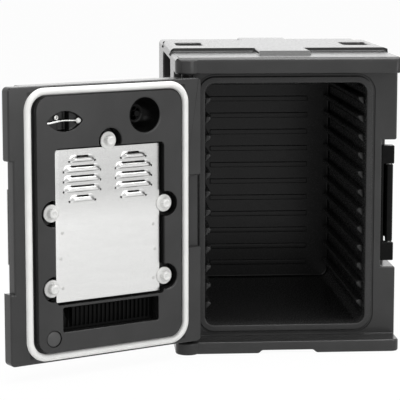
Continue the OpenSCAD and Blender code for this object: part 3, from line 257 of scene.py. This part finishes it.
def grained(name, dark, light, patch_mm, grain_mm, grain_depth_mm, rough, gloss=0.5, metal=0.0,
            stretch=(1, 1, 1), painted_shade_along=None):
    """A moulded or drawn surface: slow patches of two near colours, and a fine grain in roughness and bump.
    The painted shade, when given, is an axis, two places on it in mm, and the share of the colour left past
    the second; on metal, faces that turn downward are then painted brighter again: a painted highlight."""
    rough_spread, painted_highlight_gain, facing_down_from, facing_down_to = 0.07, 1.15, -0.05, -0.25
    dark_to, light_from, smooth_to, coarse_from = 0.35, 0.65, 0.3, 0.7
    made = bpy.data.materials.new(name)
    made.use_nodes = True
    tree = made.node_tree
    tree.nodes.clear()
    place = add(tree, "TexCoord")
    turned = add(tree, "Mapping", {"Vector": (place, "Object"), "Scale": stretch})
    patch = add(tree, "TexNoise", {"Vector": (turned, "Vector"), "Scale": 1000 / patch_mm, "Detail": 3.0})
    grain = add(tree, "TexNoise", {"Vector": (turned, "Vector"), "Scale": 1000 / grain_mm, "Detail": 2.0})
    tone = add(tree, "ValToRGB", {"Fac": (patch, "Fac")})
    for element, position, code in zip(tone.color_ramp.elements, (dark_to, light_from), (dark, light)):
        element.position, element.color = position, linear(code)
    colour = (tone, "Color")
    # Painted shade: the colour fades from all of it at the first place to the given share past the second
    if painted_shade_along:
        axis, start, end, share = painted_shade_along
        parts = add(tree, "SeparateXYZ", {"Vector": (place, "Object")})
        left = add(tree, "MapRange", {"Value": (parts, axis), "From Min": start / 1000,
                                      "From Max": end / 1000, "To Min": 1.0, "To Max": share},
                   interpolation_type="SMOOTHSTEP")
        # On metal, faces that turn downward are painted brighter, up to a little past their own colour: a
        # painted highlight
        if metal:
            facing = add(tree, "SeparateXYZ", {"Vector": (add(tree, "NewGeometry"), "Normal")})
            left = add(tree, "MapRange", {"Value": (facing, "Z"), "From Min": facing_down_from,
                                          "From Max": facing_down_to, "To Min": (left, "Result"),
                                          "To Max": painted_highlight_gain})
        dimmed = add(tree, "VectorMath", {0: colour, "Scale": (left, "Result")}, operation="SCALE")
        colour = (dimmed, "Vector")
    wear = add(tree, "MapRange", {"Value": (grain, "Fac"), "From Min": smooth_to, "From Max": coarse_from,
                                  "To Min": rough - rough_spread, "To Max": rough + rough_spread})
    relief = add(tree, "Bump", {"Height": (grain, "Fac"), "Strength": 1.0, "Distance": grain_depth_mm / 1000})
    skin = add(tree, "BsdfPrincipled", {"Base Color": colour, "Roughness": (wear, "Result"),
                                        "Normal": (relief, "Normal"), "Metallic": metal,
                                        "Specular IOR Level": gloss})
    add(tree, "OutputMaterial", {"Surface": (skin, "BSDF")})
    return made


def dress(piece, finish):
    """Gives a piece, or a CAD node by name, its one material."""
    thing = frame["nodes"][piece] if isinstance(piece, str) else piece
    thing.data.materials.clear()
    thing.data.materials.append(finish)


def fit(piece, finish, body, node):
    """Dresses a finished piece, hangs it on the body that carries it, and hides the solid that it stands for.
    """
    dress(piece, finish)
    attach(piece, body)
    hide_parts(node)


# Charcoal polyethylene, cast against a blasted mould: an even dark grey, clouded a little, matt head-on and
# pale at a flat angle. The grain is drawn at 2.5 mm, as finer would not show.
polyethylene = grained("rotomoulded_polyethylene", "#303030", "#343434", 70, 2.5, 0.012, 0.2, gloss=0.25)
cabinet_shell = softened("outer_shell", "cabinet_shell", skin_round, segments=3)
fit(cabinet_shell, polyethylene, "cabinet", "outer_shell")

# Inner liner: the moulded inside of the cabinet with its raised sealing lip, and the pan runners and rear
# ribs that are moulded with it, in the same polyethylene.
# The same charcoal at the mouth, and darker in colour further inside: painted shade for the deep cavity
liner_polyethylene_painted_shade = grained("liner_polyethylene_painted_shade", "#303030", "#343434", 60, 2.5, 0.012, 0.24, gloss=0.22,
                             painted_shade_along=("Y", -272, -225, 0.5))
runner_round, rib_round = 0.0045, 0.0015
for node, radius in (("inner_liner", skin_round), ("left_runners", runner_round),
                     ("right_runners", runner_round), ("rear_ribs", rib_round)):
    fit(softened(node, node + "_moulded", radius), liner_polyethylene_painted_shade, "cabinet", node)

# Foam core of the walls and of the door: polyurethane that is poured in as a liquid and foams in place.
# It fills each skin, holds the two walls together and never shows.
# Rigid polyurethane foam: straw yellow, dull, and pitted by its cells
urethane = grained("rigid_polyurethane_foam", "#d8c48a", "#e6d7a4", 25, 1.5, 0.30, 0.85, gloss=0.3)
dress("cabinet_foam", urethane)
dress("door_foam", urethane)

# Rear fill plugs: moulded polyethylene discs that close the holes which the foam was poured through.
# They are spin-welded into the cabinet's back.
# Polyethylene scuffed by the welding: a shade paler than the skins, and duller
plug_polyethylene = grained("plug_polyethylene", "#444444", "#494949", 40, 2.0, 0.03, 0.40, gloss=0.25)
rear_plug_round = 0.0015
rear_plugs = softened("rear_fill_plugs", "rear_fill_plugs_welded", rear_plug_round, segments=3)
fit(rear_plugs, plug_polyethylene, "cabinet", "rear_fill_plugs")

# Hinge: two turned steel pins pressed into the cabinet's lobes, and two bushes of black nylon in the door's
# edge. The door hangs on them and turns round one upright line.
# Turned stainless steel: bright, with fine tool marks that blur what it reflects
turned_steel = grained("turned_stainless_steel", "#b4b4b2", "#c4c4c2", 12, 0.8, 0.03, 0.30, metal=1.0)
# Glass-filled nylon off the mould: near black, with hardly any shine
nylon = grained("black_glass_filled_nylon", "#050505", "#090909", 15, 0.9, 0.02, 0.2, gloss=0.09)
pin_round, bush_round = 0.0008, 0.0006
for node in ("hinge_pin_top", "hinge_pin_bottom"):
    fit(softened(node, node + "_turned", pin_round), turned_steel, "cabinet", node)
for node in ("hinge_bush_top", "hinge_bush_bottom"):
    fit(softened(node, node + "_moulded", bush_round), nylon, "door", node)

# Latch on the right side: a moulded nylon base screwed into its recess, and a lever that swings forward on a
# steel pin and hooks its claw behind the keeper on the door.
base_round, lever_round, fixing_round = 0.002, 0.004, 0.0005
for node, body, radius in (("latch_base", "cabinet", base_round),
                           ("latch_lever", "latch_lever", lever_round)):
    fit(softened(node, node + "_moulded", radius, segments=4), nylon, body, node)
for node in ("latch_base_screws", "latch_pin"):
    fit(softened(node, node + "_turned", fixing_round), turned_steel, "cabinet", node)

# Door: a second rotomoulded skin, foam filled, with a raised plug inside that fits the cavity's mouth and
# carries the heater, the probe and the vent. Its pieces are modelled with the door shut, in millimetres back
# from the plinth's front, and then swung open.
plinth_front, door_face, plug_face = -340, 49.7, 59.7
plug_half_w, plug_half_h, plug_corner = 168, 256, 28
seal_half_w, seal_low, seal_high = 183.5, 43.5, 574.5
seal_half_h, seal_mid = (seal_high - seal_low) / 2, (seal_low + seal_high) / 2
hinge = next(joint for joint in frame["joints"] if joint["name"] == "door_hinge")
hinge_at = Vector(hinge["pos_m"])
swing = (Matrix.Translation(hinge_at) @ Matrix.Rotation(radians(hinge["range_deg"][0]), 4, "Z")
         @ Matrix.Translation(-hinge_at))
swing_back = swing.inverted()


def shut(x, y, z):
    """A point of the shut door, in metres."""
    return Vector((x, y + plinth_front, z)) / 1000


# The cabinet's charcoal, with painted shade: inside the seal's ring, the pockets below the plug's face and
# the foot of the groove round the plug are darkened in colour, to stand for the shade that falls in them
pocket_shade_start, pocket_shade_full, pocket_shade_share = 1, 2.5, 0.25
door_polyethylene = grained("door_polyethylene_painted_pocket_shade", "#303030", "#343434", 70, 2.5, 0.012, 0.2,
                            gloss=0.25)
door_tree = door_polyethylene.node_tree
door_shader = next(node for node in door_tree.nodes if node.type == "BSDF_PRINCIPLED")
unshaded_tone = door_shader.inputs["Base Color"].links[0].from_node
shut_place = add(door_tree, "Mapping", {"Vector": (add(door_tree, "TexCoord"), "Object"),
                                        "Location": swing_back.to_translation(),
                                        "Rotation": swing_back.to_euler()})
from_middle = add(door_tree, "VectorMath", {0: (shut_place, "Vector"), 1: shut(0, plug_face, seal_mid)},
                  operation="SUBTRACT")
off = add(door_tree, "SeparateXYZ", {"Vector": (from_middle, "Vector")})
pocket_shade = add(door_tree, "MapRange", {"Value": (off, "Y"), "From Min": -pocket_shade_start / 1000,
                                    "From Max": -pocket_shade_full / 1000})
for axis, half in (("X", seal_half_w), ("Z", seal_half_h)):
    away = add(door_tree, "Math", {0: (off, axis)}, operation="ABSOLUTE")
    within = add(door_tree, "Math", {0: (away, "Value"), 1: half / 1000}, operation="LESS_THAN")
    pocket_shade = add(door_tree, "Math", {0: (pocket_shade, 0), 1: (within, "Value")}, operation="MULTIPLY")
# The plug's side wall is a narrow band round its rounded outline, and is left out of the painted shade
wall_in, wall_out = 2, 1
straight = ((plug_half_w - plug_corner) / 1000, 1, (plug_half_h - plug_corner) / 1000)
aside = add(door_tree, "VectorMath", {0: (from_middle, "Vector")}, operation="ABSOLUTE")
past = add(door_tree, "VectorMath", {0: (aside, "Vector"), 1: straight}, operation="SUBTRACT")
beyond = add(door_tree, "VectorMath", {0: (past, "Vector"), 1: (0, 0, 0)}, operation="MAXIMUM")
reach = add(door_tree, "VectorMath", {0: (beyond, "Vector")}, operation="LENGTH")
wall = add(door_tree, "Math", {0: (reach, "Value"), 1: (plug_corner + (wall_out - wall_in) / 2) / 1000,
                               2: (wall_in + wall_out) / 2000}, operation="COMPARE")
off_plug_wall = add(door_tree, "Math", {0: 1.0, 1: (wall, "Value")}, operation="SUBTRACT")
pocket_shade = add(door_tree, "Math", {0: (pocket_shade, "Value"), 1: (off_plug_wall, "Value")}, operation="MULTIPLY")
left = add(door_tree, "MapRange", {"Value": (pocket_shade, "Value"), "To Min": 1.0, "To Max": pocket_shade_share})
toned = add(door_tree, "VectorMath", {0: (unshaded_tone, "Color"), "Scale": (left, "Result")}, operation="SCALE")
door_tree.links.new(toned.outputs["Vector"], door_shader.inputs["Base Color"])
door_skin = softened("door_shell", "door_skin", skin_round, segments=3)
fit(door_skin, door_polyethylene, "door", "door_shell")

# Keeper: a pressed stainless plate on the door, held by screws. The latch's claw hooks behind it and pulls
# the seal against the cabinet's lip.
keeper_round = 0.0005
for node in ("latch_keeper", "keeper_screws"):
    fit(softened(node, node + "_pressed", keeper_round), turned_steel, "door", node)

# Door seal: an extruded ring of white silicone rubber with a rounded back, joined at its ends and glued to
# the door round the plug. The cabinet's lip presses into it.
seal_bend, seal_bend_steps, seal_r, seal_t, seal_sides, weld = 37.5, 20, 7.5, 7, 6, 1e-6


def hang(piece):
    """Swings a piece of the shut door to where the door stands, and leaves its place in its mesh."""
    bpy.ops.object.select_all(action="DESELECT")
    bpy.context.view_layer.objects.active = piece
    piece.select_set(True)
    piece.matrix_world = swing @ piece.matrix_world
    bpy.ops.object.transform_apply(location=True, rotation=True, scale=True)
    return piece


bpy.ops.object.select_all(action="DESELECT")
bpy.ops.mesh.primitive_plane_add(size=1, rotation=(pi / 2, 0, 0), location=shut(0, door_face, seal_mid))
seal = bpy.context.object
seal.name = "door_seal"
seal.scale = (2 * seal_half_w / 1000, 2 * seal_half_h / 1000, 1)
bpy.ops.object.transform_apply(location=True, rotation=True, scale=True)
bpy.ops.object.mode_set(mode="EDIT")
bpy.ops.mesh.select_all(action="SELECT")
bpy.ops.mesh.bevel(offset=seal_bend / 1000, segments=seal_bend_steps, affect="VERTICES")
bpy.ops.mesh.select_all(action="SELECT")
bpy.ops.mesh.delete(type="ONLY_FACE")
bpy.ops.object.mode_set(mode="OBJECT")
bpy.ops.object.convert(target="CURVE")
seal.data.bevel_depth, seal.data.bevel_resolution = seal_r / 1000, seal_sides
seal.data.dimensions, seal.data.fill_mode = "3D", "FULL"
bpy.ops.object.convert(target="MESH")
bpy.ops.object.mode_set(mode="EDIT")
bpy.ops.mesh.select_all(action="SELECT")
bpy.ops.mesh.remove_doubles(threshold=weld)
bpy.ops.transform.resize(value=(1, seal_t / seal_r, 1), center_override=shut(0, door_face, 0))
bpy.ops.mesh.select_all(action="SELECT")
bpy.ops.mesh.bisect(plane_co=shut(0, door_face, 0), plane_no=(0, 1, 0), use_fill=True, clear_inner=True)
bpy.ops.mesh.select_all(action="SELECT")
bpy.ops.mesh.normals_make_consistent(inside=False)
bpy.ops.object.mode_set(mode="OBJECT")
bpy.ops.object.shade_smooth_by_angle(angle=smooth_below)
hang(seal)
# Silicone rubber: an even white with a soft shine
silicone = grained("white_silicone_rubber", "#d9d9d7", "#dededc", 30, 1.2, 0.01, 0.45)
fit(seal, silicone, "door", "door_gasket")

# Fill plug of the door: a moulded polyethylene disc, welded over the hole that the door's foam was poured
# through. It sits a little below the plug's face, with a narrow gap round it.
fill_x, fill_z = 134, 81
fill_profile = [(0, -5), (15.7, -5), (15.7, -2.4), (15.3, -1.6), (14.4, -1.2), (0, -1.0)]


def lathe(name, profile, place, steps=72):
    """A piece turned round the line that points in from the shut door; profile is (radius, height) in mm."""
    bpy.ops.object.select_all(action="DESELECT")
    bpy.ops.mesh.primitive_plane_add(size=1)
    turned = bpy.context.object
    turned.name = name
    bm = bmesh.new()
    line = [bm.verts.new((radius / 1000, 0, height / 1000)) for radius, height in profile]
    for a, b in zip(line, line[1:]):
        bm.edges.new((a, b))
    bm.to_mesh(turned.data)
    bm.free()
    bpy.ops.object.mode_set(mode="EDIT")
    bpy.ops.mesh.select_all(action="SELECT")
    bpy.ops.mesh.spin(steps=steps, angle=2 * pi, center=(0, 0, 0), axis=(0, 0, 1))
    bpy.ops.mesh.select_all(action="SELECT")
    bpy.ops.mesh.remove_doubles(threshold=weld)
    bpy.ops.mesh.normals_make_consistent(inside=False)
    bpy.ops.object.mode_set(mode="OBJECT")
    turned.rotation_euler = (-pi / 2, 0, 0)
    turned.location = place
    bpy.ops.object.transform_apply(location=True, rotation=True, scale=True)
    return turned


door_plug = hang(lathe("door_fill_plug_welded", fill_profile, shut(fill_x, plug_face, fill_z)))
bpy.ops.object.shade_smooth_by_angle(angle=smooth_below)
fit(door_plug, plug_polyethylene, "door", "door_fill_plug")

# Heater behind the cover: a folded steel tray, a bent tube element in two saddles, ceramic terminal blocks, a
# cut-out and two leads.
# Alloy tube oxidised by its own heat: brownish dark grey, a dull metal
oxide = grained("oxidised_alloy_tube", "#4e4c4c", "#6a6260", 18, 0.9, 0.05, 0.45, metal=1.0)
# Glazed steatite: a smooth cream ceramic with a clear shine
steatite = grained("glazed_steatite", "#e4dccb", "#efe9dc", 10, 0.8, 0.02, 0.25)
# Steel coloured nearly black and dull as painted shade, so that the louvres' slots look dark
shade_black_steel = grained("near_black_steel_painted_shade", "#1d1b1a", "#282524", 30, 1.2, 0.02, 0.55, metal=0.6)
for node, finish in (("heater_tray", shade_black_steel), ("element_saddles", shade_black_steel), ("heating_element", oxide),
                     ("terminal_blocks", steatite), ("thermal_cutout", nylon), ("heater_leads", nylon)):
    dress(node, finish)

# Heater cover: one stainless sheet with pressed louvres, held by five thumbscrews on turned posts and
# stiffened inside by straps on six rivets.
cover_half, cover_low, cover_high, cover_face, sheet_t, flange_t = 120.5, 151, 457, 46.7, 1.2, 8
louvre_halves, louvre_mid, louvre_top, louvre_pitch = (28.5, 42, 42, 42, 28.5), 60, 444, 20
louvre_h, louvre_rise, louvre_slope, foot_slope = 14, 5, 15, 0.3
louvre_tops = [louvre_top - louvre_pitch * place for place in range(len(louvre_halves))]
slot_h, crest, rolled, relief_r, relief_out, relief_up = 4.2, 0.55, 0.6, 2.4, 1, 2.5
knob_x, knob_rows, knob_top, ear_r, ear_back, ear_edge = 132, (332.5, 181), 469.7, 15, 0.1, 0.3
rivet_round, cover_smooth, hair_mm = 0.0007, radians(35), 0.01


def eased(share):
    """A share from 0 to 1 that starts and ends gently."""
    return share * share * (3 - 2 * share)


def louvre_height(x, z):
    """How far the sheet is pressed out, in mm: a louvre swells, then rolls back to its slot's lip."""
    for top, half in zip(louvre_tops, louvre_halves):
        if top - louvre_h <= z <= top:
            out = abs(abs(x) - louvre_mid)
            up = min(1.0, max(0.0, (z - top + louvre_h) / (louvre_h - slot_h)))
            end = min(1.0, max(0.0, (half - out) / (louvre_slope * (foot_slope + (1 - foot_slope) * up))))
            roll = max(0.0, (up - crest) / (1 - crest))
            swell = eased(min(1.0, up / crest)) - rolled * roll * roll
            beside_slot = max(0.0, (top - z) / slot_h) if z > top - slot_h + hair_mm else 1.0
            return louvre_rise * swell * eased(end) * beside_slot
    return 0.0


def edges_broken(offset_mm):
    """Puts the place of a new primitive into its mesh, takes off its sharp edges, and gives the piece."""
    bpy.ops.object.transform_apply(location=True, rotation=True, scale=True)
    bpy.ops.object.mode_set(mode="EDIT")
    bpy.ops.mesh.select_all(action="SELECT")
    bpy.ops.mesh.bevel(offset=offset_mm / 1000, segments=2, affect="EDGES")
    bpy.ops.object.mode_set(mode="OBJECT")
    return bpy.context.object


def joined(main, others):
    """Makes one mesh of a piece and the others that belong to it."""
    bpy.ops.object.select_all(action="DESELECT")
    for part in (main, *others):
        part.select_set(True)
    bpy.context.view_layer.objects.active = main
    if others:
        bpy.ops.object.join()
    return main


def repeated(pattern, places):
    """One piece of copies of the pattern, each with its own mesh, moved by the places' matrices."""
    copies = []
    for place in places:
        copy = bpy.data.objects.new(pattern.name, pattern.data.copy())
        bpy.context.scene.collection.objects.link(copy)
        copy.matrix_world = place
        copies.append(copy)
    bpy.data.objects.remove(pattern)
    return joined(copies[0], copies[1:])


# The sheet's grid has lines close together where the louvres are, and a line at each lip
xs = sorted({side * x for side in (-1, 1) for x in [0, 6, 12] + [16 + 1.5 * i for i in range(60)]
             + [107, 112, 117, cover_half]})
zs = sorted({cover_low, 160, 170, 200, 230, 260, 290, 310, 330, 340, 452, cover_high}
            | {top - slot_h - (louvre_h - slot_h) * i / 9 for top in louvre_tops for i in range(10)}
            | {top + step for top in louvre_tops for step in (-slot_h / 2, 0, 2, -louvre_h - 2)})
bpy.ops.object.select_all(action="DESELECT")
bpy.ops.mesh.primitive_grid_add(x_subdivisions=len(xs) - 1, y_subdivisions=len(zs) - 1, size=2,
                                rotation=(pi / 2, 0, 0))
cover = bpy.context.object
cover.name = "heater_cover_pressed"
bpy.ops.object.transform_apply(location=True, rotation=True, scale=True)
bpy.ops.object.mode_set(mode="EDIT")
bm = bmesh.from_edit_mesh(cover.data)
column = dict(zip(sorted({round(v.co.x, 4) for v in bm.verts}), xs))
row = dict(zip(sorted({round(v.co.z, 4) for v in bm.verts}), zs))
for v in bm.verts:
    v.co = shut(column[round(v.co.x, 4)], cover_face, row[round(v.co.z, 4)])
# Each louvre's slot is cut through between its sloped ends, and a relief hole at both lower corners
holes = []
for face in bm.faces:
    mid = face.calc_center_median() * 1000
    for top, half in zip(louvre_tops, louvre_halves):
        out = abs(abs(mid.x) - louvre_mid)
        in_slot = top - slot_h < mid.z < top and out < half - louvre_slope
        from_relief = ((out - half - relief_out) ** 2 + (mid.z - top + louvre_h - relief_up) ** 2) ** 0.5
        if in_slot or from_relief < relief_r:
            holes.append(face)
bmesh.ops.delete(bm, geom=holes, context="FACES")
for v in bm.verts:
    v.co.y += louvre_height(v.co.x * 1000, v.co.z * 1000) / 1000
bmesh.update_edit_mesh(cover.data)
# Folded side flanges
bpy.ops.mesh.select_all(action="DESELECT")
bm = bmesh.from_edit_mesh(cover.data)
for edge in bm.edges:
    at_side = all(abs(abs(v.co.x) * 1000 - cover_half) < hair_mm for v in edge.verts)
    edge.select = edge.is_boundary and at_side
bmesh.update_edit_mesh(cover.data)
bpy.ops.mesh.extrude_region_move(TRANSFORM_OT_translate={"value": (0, -flange_t / 1000, 0)})
bpy.ops.object.mode_set(mode="OBJECT")
thick = cover.modifiers.new("sheet_thickness", "SOLIDIFY")
thick.thickness, thick.offset = sheet_t / 1000, -1
bpy.ops.object.modifier_apply(modifier=thick.name)
# Ears under the thumbscrews, a hair behind the sheet's face
knob_places = [(side * knob_x, z) for side in (-1, 1) for z in knob_rows] + [(0, knob_top)]
bpy.ops.object.select_all(action="DESELECT")
bpy.ops.mesh.primitive_cylinder_add(vertices=48, radius=ear_r / 1000, depth=(sheet_t - 2 * ear_back) / 1000,
                                    rotation=(pi / 2, 0, 0),
                                    location=shut(0, cover_face - sheet_t / 2 - ear_back, 0))
ears = repeated(edges_broken(ear_edge), [Matrix.Translation((x / 1000, 0, z / 1000)) for x, z in knob_places])
joined(cover, [ears])
bpy.ops.object.shade_smooth_by_angle(angle=cover_smooth)
hang(cover)
# Satin stainless sheet: bright below, with painted shade that darkens it round the louvres, and a painted
# highlight on faces that turn downward
stainless_sheet = grained("stainless_sheet_painted_shade_and_highlight", "#d6d6d5", "#d9d9d8", 60, 1.0, 0.001, 0.27,
                          metal=1.0, stretch=(1, 1, 6), painted_shade_along=("Z", 300, 385, 0.72))
fit(cover, stainless_sheet, "door", "heater_cover")
dress("cover_posts", turned_steel)
rivets = softened("cover_rivets", "cover_rivets_set", rivet_round, segments=3)
fit(rivets, turned_steel, "door", "cover_rivets")

# Thumbscrews of the cover: five knobs moulded in white nylon, each in one with its shank, a dished flange
# and a fluted, domed grip with a dimple in its end. They screw into the posts and clamp the cover's ears.
shank_low, shank_r, flange_r, flange_h, grip_r, grip_h = -10.2, 3, 18, 4, 10, 16
flute_count, flute_share = 12, 0.05
knob_profile = [(0, shank_low), (shank_r - 0.6, shank_low), (shank_r, shank_low + 0.6), (shank_r, 0),
                (flange_r - 1.2, 0), (flange_r - 0.35, 0.35), (flange_r, 1.2), (flange_r, flange_h - 1.6),
                (flange_r - 0.5, flange_h - 0.5), (flange_r - 1.6, flange_h), (grip_r + 2.6, flange_h - 0.5),
                (grip_r + 0.9, flange_h), (grip_r, flange_h + 1.4), (grip_r - 0.1, 8), (grip_r - 0.2, 11),
                (grip_r - 0.4, grip_h - 2.4), (grip_r - 1.2, grip_h - 0.9), (grip_r - 2.6, grip_h - 0.1),
                (grip_r - 4, grip_h), (grip_r - 5, grip_h - 0.3), (grip_r - 5.8, grip_h - 1.1),
                (grip_r - 7, grip_h - 1.4), (0, grip_h - 1.5)]
knob = lathe("thumbscrew", knob_profile, (0, 0, 0))
for v in knob.data.vertices:
    out, height = Vector((v.co.x, 0, v.co.z)), v.co.y * 1000
    if flange_h + 1 < height < grip_h - 0.5 and out.length * 1000 > grip_r - 2:
        v.co -= out * flute_share * max(0.0, cos(flute_count * atan2(v.co.z, v.co.x)))
thumbscrews = repeated(knob, [Matrix.Translation(shut(x, cover_face, z)) for x, z in knob_places])
thumbscrews.name = "cover_thumbscrews_moulded"
bpy.ops.object.shade_smooth_by_angle(angle=smooth_below)
hang(thumbscrews)
# White nylon: a little greyer than the seal, with a satin shine
white_nylon = grained("white_moulded_nylon", "#cbcbc9", "#d1d1cf", 12, 0.9, 0.01, 0.35)
fit(thumbscrews, white_nylon, "door", "cover_thumbscrews")

# Intake grille below the cover: upright bars moulded in black polypropylene on a thin back, which keep
# things out of the slot where the air goes in. It snaps into the plug.
back_y, back_z, back_w, back_t, back_h, back_edge = 34.4, 117, 222, 0.8, 48, 0.3
bar_round = 0.0006
grille = softened("intake_grille", "intake_grille_moulded", bar_round)
bpy.ops.object.select_all(action="DESELECT")
bpy.ops.mesh.primitive_cube_add(size=1, location=shut(0, back_y, back_z),
                                scale=(back_w / 1000, back_t / 1000, back_h / 1000))
joined(grille, [hang(edges_broken(back_edge))])
bpy.ops.object.shade_smooth_by_angle(angle=smooth_below)
# Black polypropylene for the bars and their back: dead black and matt as painted shade, so that the slot
# looks deep
grille_plastic = grained("black_polypropylene_painted_shade", "#030303", "#060606", 25, 1.5, 0.02, 0.5, gloss=0.08)
fit(grille, grille_plastic, "door", "intake_grille")

# Temperature probe in its pocket: a thin bright sheath that bows over the slot in the pocket's floor, with a
# thicker sensing end, an eyelet under a screw, and a ring clip on a pillar.
sheath_r, sheath_sides, sheath_steps, probe_smooth = 2, 5, 8, radians(50)
thin_share, thick_share, thick_from = 0.9, 1.3, 125
probe_line = [(72.5, 55.7, 514.5), (80, 55.7, 514.6), (92, 55.8, 515.4), (104, 55.9, 516.2),
              (116, 55.8, 515.2), (128, 55.7, 513.2), (136, 55.7, 512.2), (144, 55.7, 511.4)]
eyelet_profile = [(2.4, -1.5), (5.4, -1.5), (6, -0.9), (6, 0.9), (5.4, 1.5), (2.4, 1.5), (2.4, -1.5)]
clip_at, clip_r, clip_wire_r, screw_round = (122, 54.9, 522.5), 3.8, 1.3, 0.0008
bpy.ops.object.select_all(action="DESELECT")
bpy.ops.curve.primitive_nurbs_path_add()
probe = bpy.context.object
probe.name = "temp_probe_bent"
path = probe.data.splines[0]
path.points.add(len(probe_line) - len(path.points))
for point, (x, y, z) in zip(path.points, probe_line):
    point.co = (*shut(x, y, z), 1)
    point.radius = thick_share if x > thick_from else thin_share
path.use_endpoint_u, path.resolution_u = True, sheath_steps
probe.data.bevel_depth, probe.data.bevel_resolution = sheath_r / 1000, sheath_sides
probe.data.use_fill_caps = True
bpy.ops.object.convert(target="MESH")
eyelet = lathe("eyelet", eyelet_profile, shut(*probe_line[0]), steps=40)
bpy.ops.object.select_all(action="DESELECT")
bpy.ops.mesh.primitive_torus_add(major_segments=40, minor_segments=12, major_radius=clip_r / 1000,
                                 minor_radius=clip_wire_r / 1000, rotation=(pi / 2, 0, 0),
                                 location=shut(*clip_at))
clip = bpy.context.object
bpy.ops.object.transform_apply(location=True, rotation=True, scale=True)
joined(probe, [eyelet, clip])
bpy.ops.object.shade_smooth_by_angle(angle=probe_smooth)
hang(probe)
# Polished stainless sheath: light and smooth, with clear reflections
polished_steel = grained("polished_stainless_sheath", "#b8b8b6", "#c6c6c4", 8, 0.6, 0.005, 0.24, metal=1.0)
fit(probe, polished_steel, "door", "temp_probe")
probe_screws = softened("probe_screws", "probe_screws_turned", screw_round, segments=3)
fit(probe_screws, turned_steel, "door", "probe_screws")

# Vent: a nylon guide through the door, a thin black funnel that lines the wide hole in the plug as painted
# shade, and a nylon cap outside that slides out to let steam go. The guide clips into the skin.
vent_x, vent_z, vent_round = -81, 517.5, 0.001
shade_funnel_profile = [(35.0, -0.6), (21.9, -43.7), (15.7, -43.7), (15.7, -43.0), (21.2, -43.0), (34.3, -0.6),
                  (35.0, -0.6)]
vent_guide = softened("vent_guide", "vent_guide_moulded", vent_round, segments=3)
# The funnel is a thin black lining joined to the guide, put in the hole as painted shade
joined(vent_guide, [hang(lathe("funnel", shade_funnel_profile, shut(vent_x, plug_face, vent_z)))])
bpy.ops.object.shade_smooth_by_angle(angle=smooth_below)
fit(vent_guide, nylon, "door", "vent_guide")
vent_cap = softened("vent_cap", "vent_cap_moulded", vent_round, segments=3)
fit(vent_cap, nylon, "vent_cap", "vent_cap")

# Controls on the outside of the door: a housing with its panel, a thermostat dial, a lit rocker, a lamp and
# the socket for a detachable mains lead. The panel is screwed to the housing, and the rest snaps into it.
# Spark-textured ABS: dark grey and evenly matt
housing_abs = grained("textured_abs", "#2b2b2c", "#303031", 30, 1.2, 0.05, 0.48)
# Satin ABS: a mid grey, lighter than the housing and a little smoother
panel_abs = grained("satin_abs_panel", "#4a4a4c", "#4f4f51", 30, 1.0, 0.03, 0.42)
# Red polycarbonate: a deep, even red with a clear shine
red_plastic = grained("red_polycarbonate", "#b01712", "#bd1d16", 10, 0.8, 0.01, 0.22)
# Amber polycarbonate: a warm orange, the glossiest of the plastics
amber = grained("amber_polycarbonate", "#d86e12", "#e5811c", 8, 0.8, 0.01, 0.18)
for node, body, slot, finish, radius in (
        ("control_housing", "door", "control_plastic", housing_abs, 0.0025),
        ("control_panel", "door", "control_plastic", panel_abs, 0.0006),
        ("panel_screws", "door", "steel", turned_steel, 0.0005),
        ("thermostat_knob", "thermostat_knob", "black_plastic", nylon, 0.0012),
        ("switch_frame", "door", "black_plastic", nylon, 0.0006),
        ("power_switch", "power_switch", "red_plastic", red_plastic, 0.0008),
        ("pilot_lamp", "door", "lamp", amber, 0.0012),
        ("power_inlet", "door", "black_plastic", nylon, 0.0006)):
    fit(softened(node, node + "_moulded", radius, segments=3), finish, body, node)
dress("thermostat_body", panel_abs)

# Scale of the dial: ticks printed on the panel along the dial's travel, and a line printed on its pointer, in
# white ink pressed through a screen.
tick_count, tick_in, tick_l, tick_w, tick_out = 11, 23.5, 4.5, 1.0, 0
line_in, line_l, line_w, line_out = 3, 13, 1.6, 16.5
ink_t, ink_edge, dial_top = 0.2, 0.05, 90
dial = next(joint for joint in frame["joints"] if joint["name"] == "thermostat_turn")
dial_at = swing_back @ Vector(dial["pos_m"])
panel_face = min((swing_back @ v.co).y for v in frame["nodes"]["control_panel"].data.vertices)
first, last = (radians(dial_top + turn) for turn in dial["range_deg"])
tick_angles = [first + (last - first) * i / (tick_count - 1) for i in range(tick_count)]
# Screen ink stands a hair proud of the plastic: an even, matt white
screen_ink = grained("white_screen_ink", "#dadad6", "#e2e2de", 6, 0.8, 0.004, 0.55)
for name, body, inner, length, width, out, angles in (
        ("dial_scale_printed", "door", tick_in, tick_l, tick_w, tick_out, tick_angles),
        ("dial_pointer_line", "thermostat_knob", line_in, line_l, line_w, line_out, [first])):
    bpy.ops.object.select_all(action="DESELECT")
    bpy.ops.mesh.primitive_cube_add(size=1, location=((inner + length / 2) / 1000, 0, 0),
                                    scale=(length / 1000, ink_t / 1000, width / 1000))
    middle = Matrix.Translation((dial_at.x, panel_face - out / 1000, dial_at.z))
    print_piece = repeated(edges_broken(ink_edge), [middle @ Matrix.Rotation(-a, 4, "Y") for a in angles])
    print_piece.name = name
    hang(print_piece)
    dress(print_piece, screen_ink)
    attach(print_piece, body)
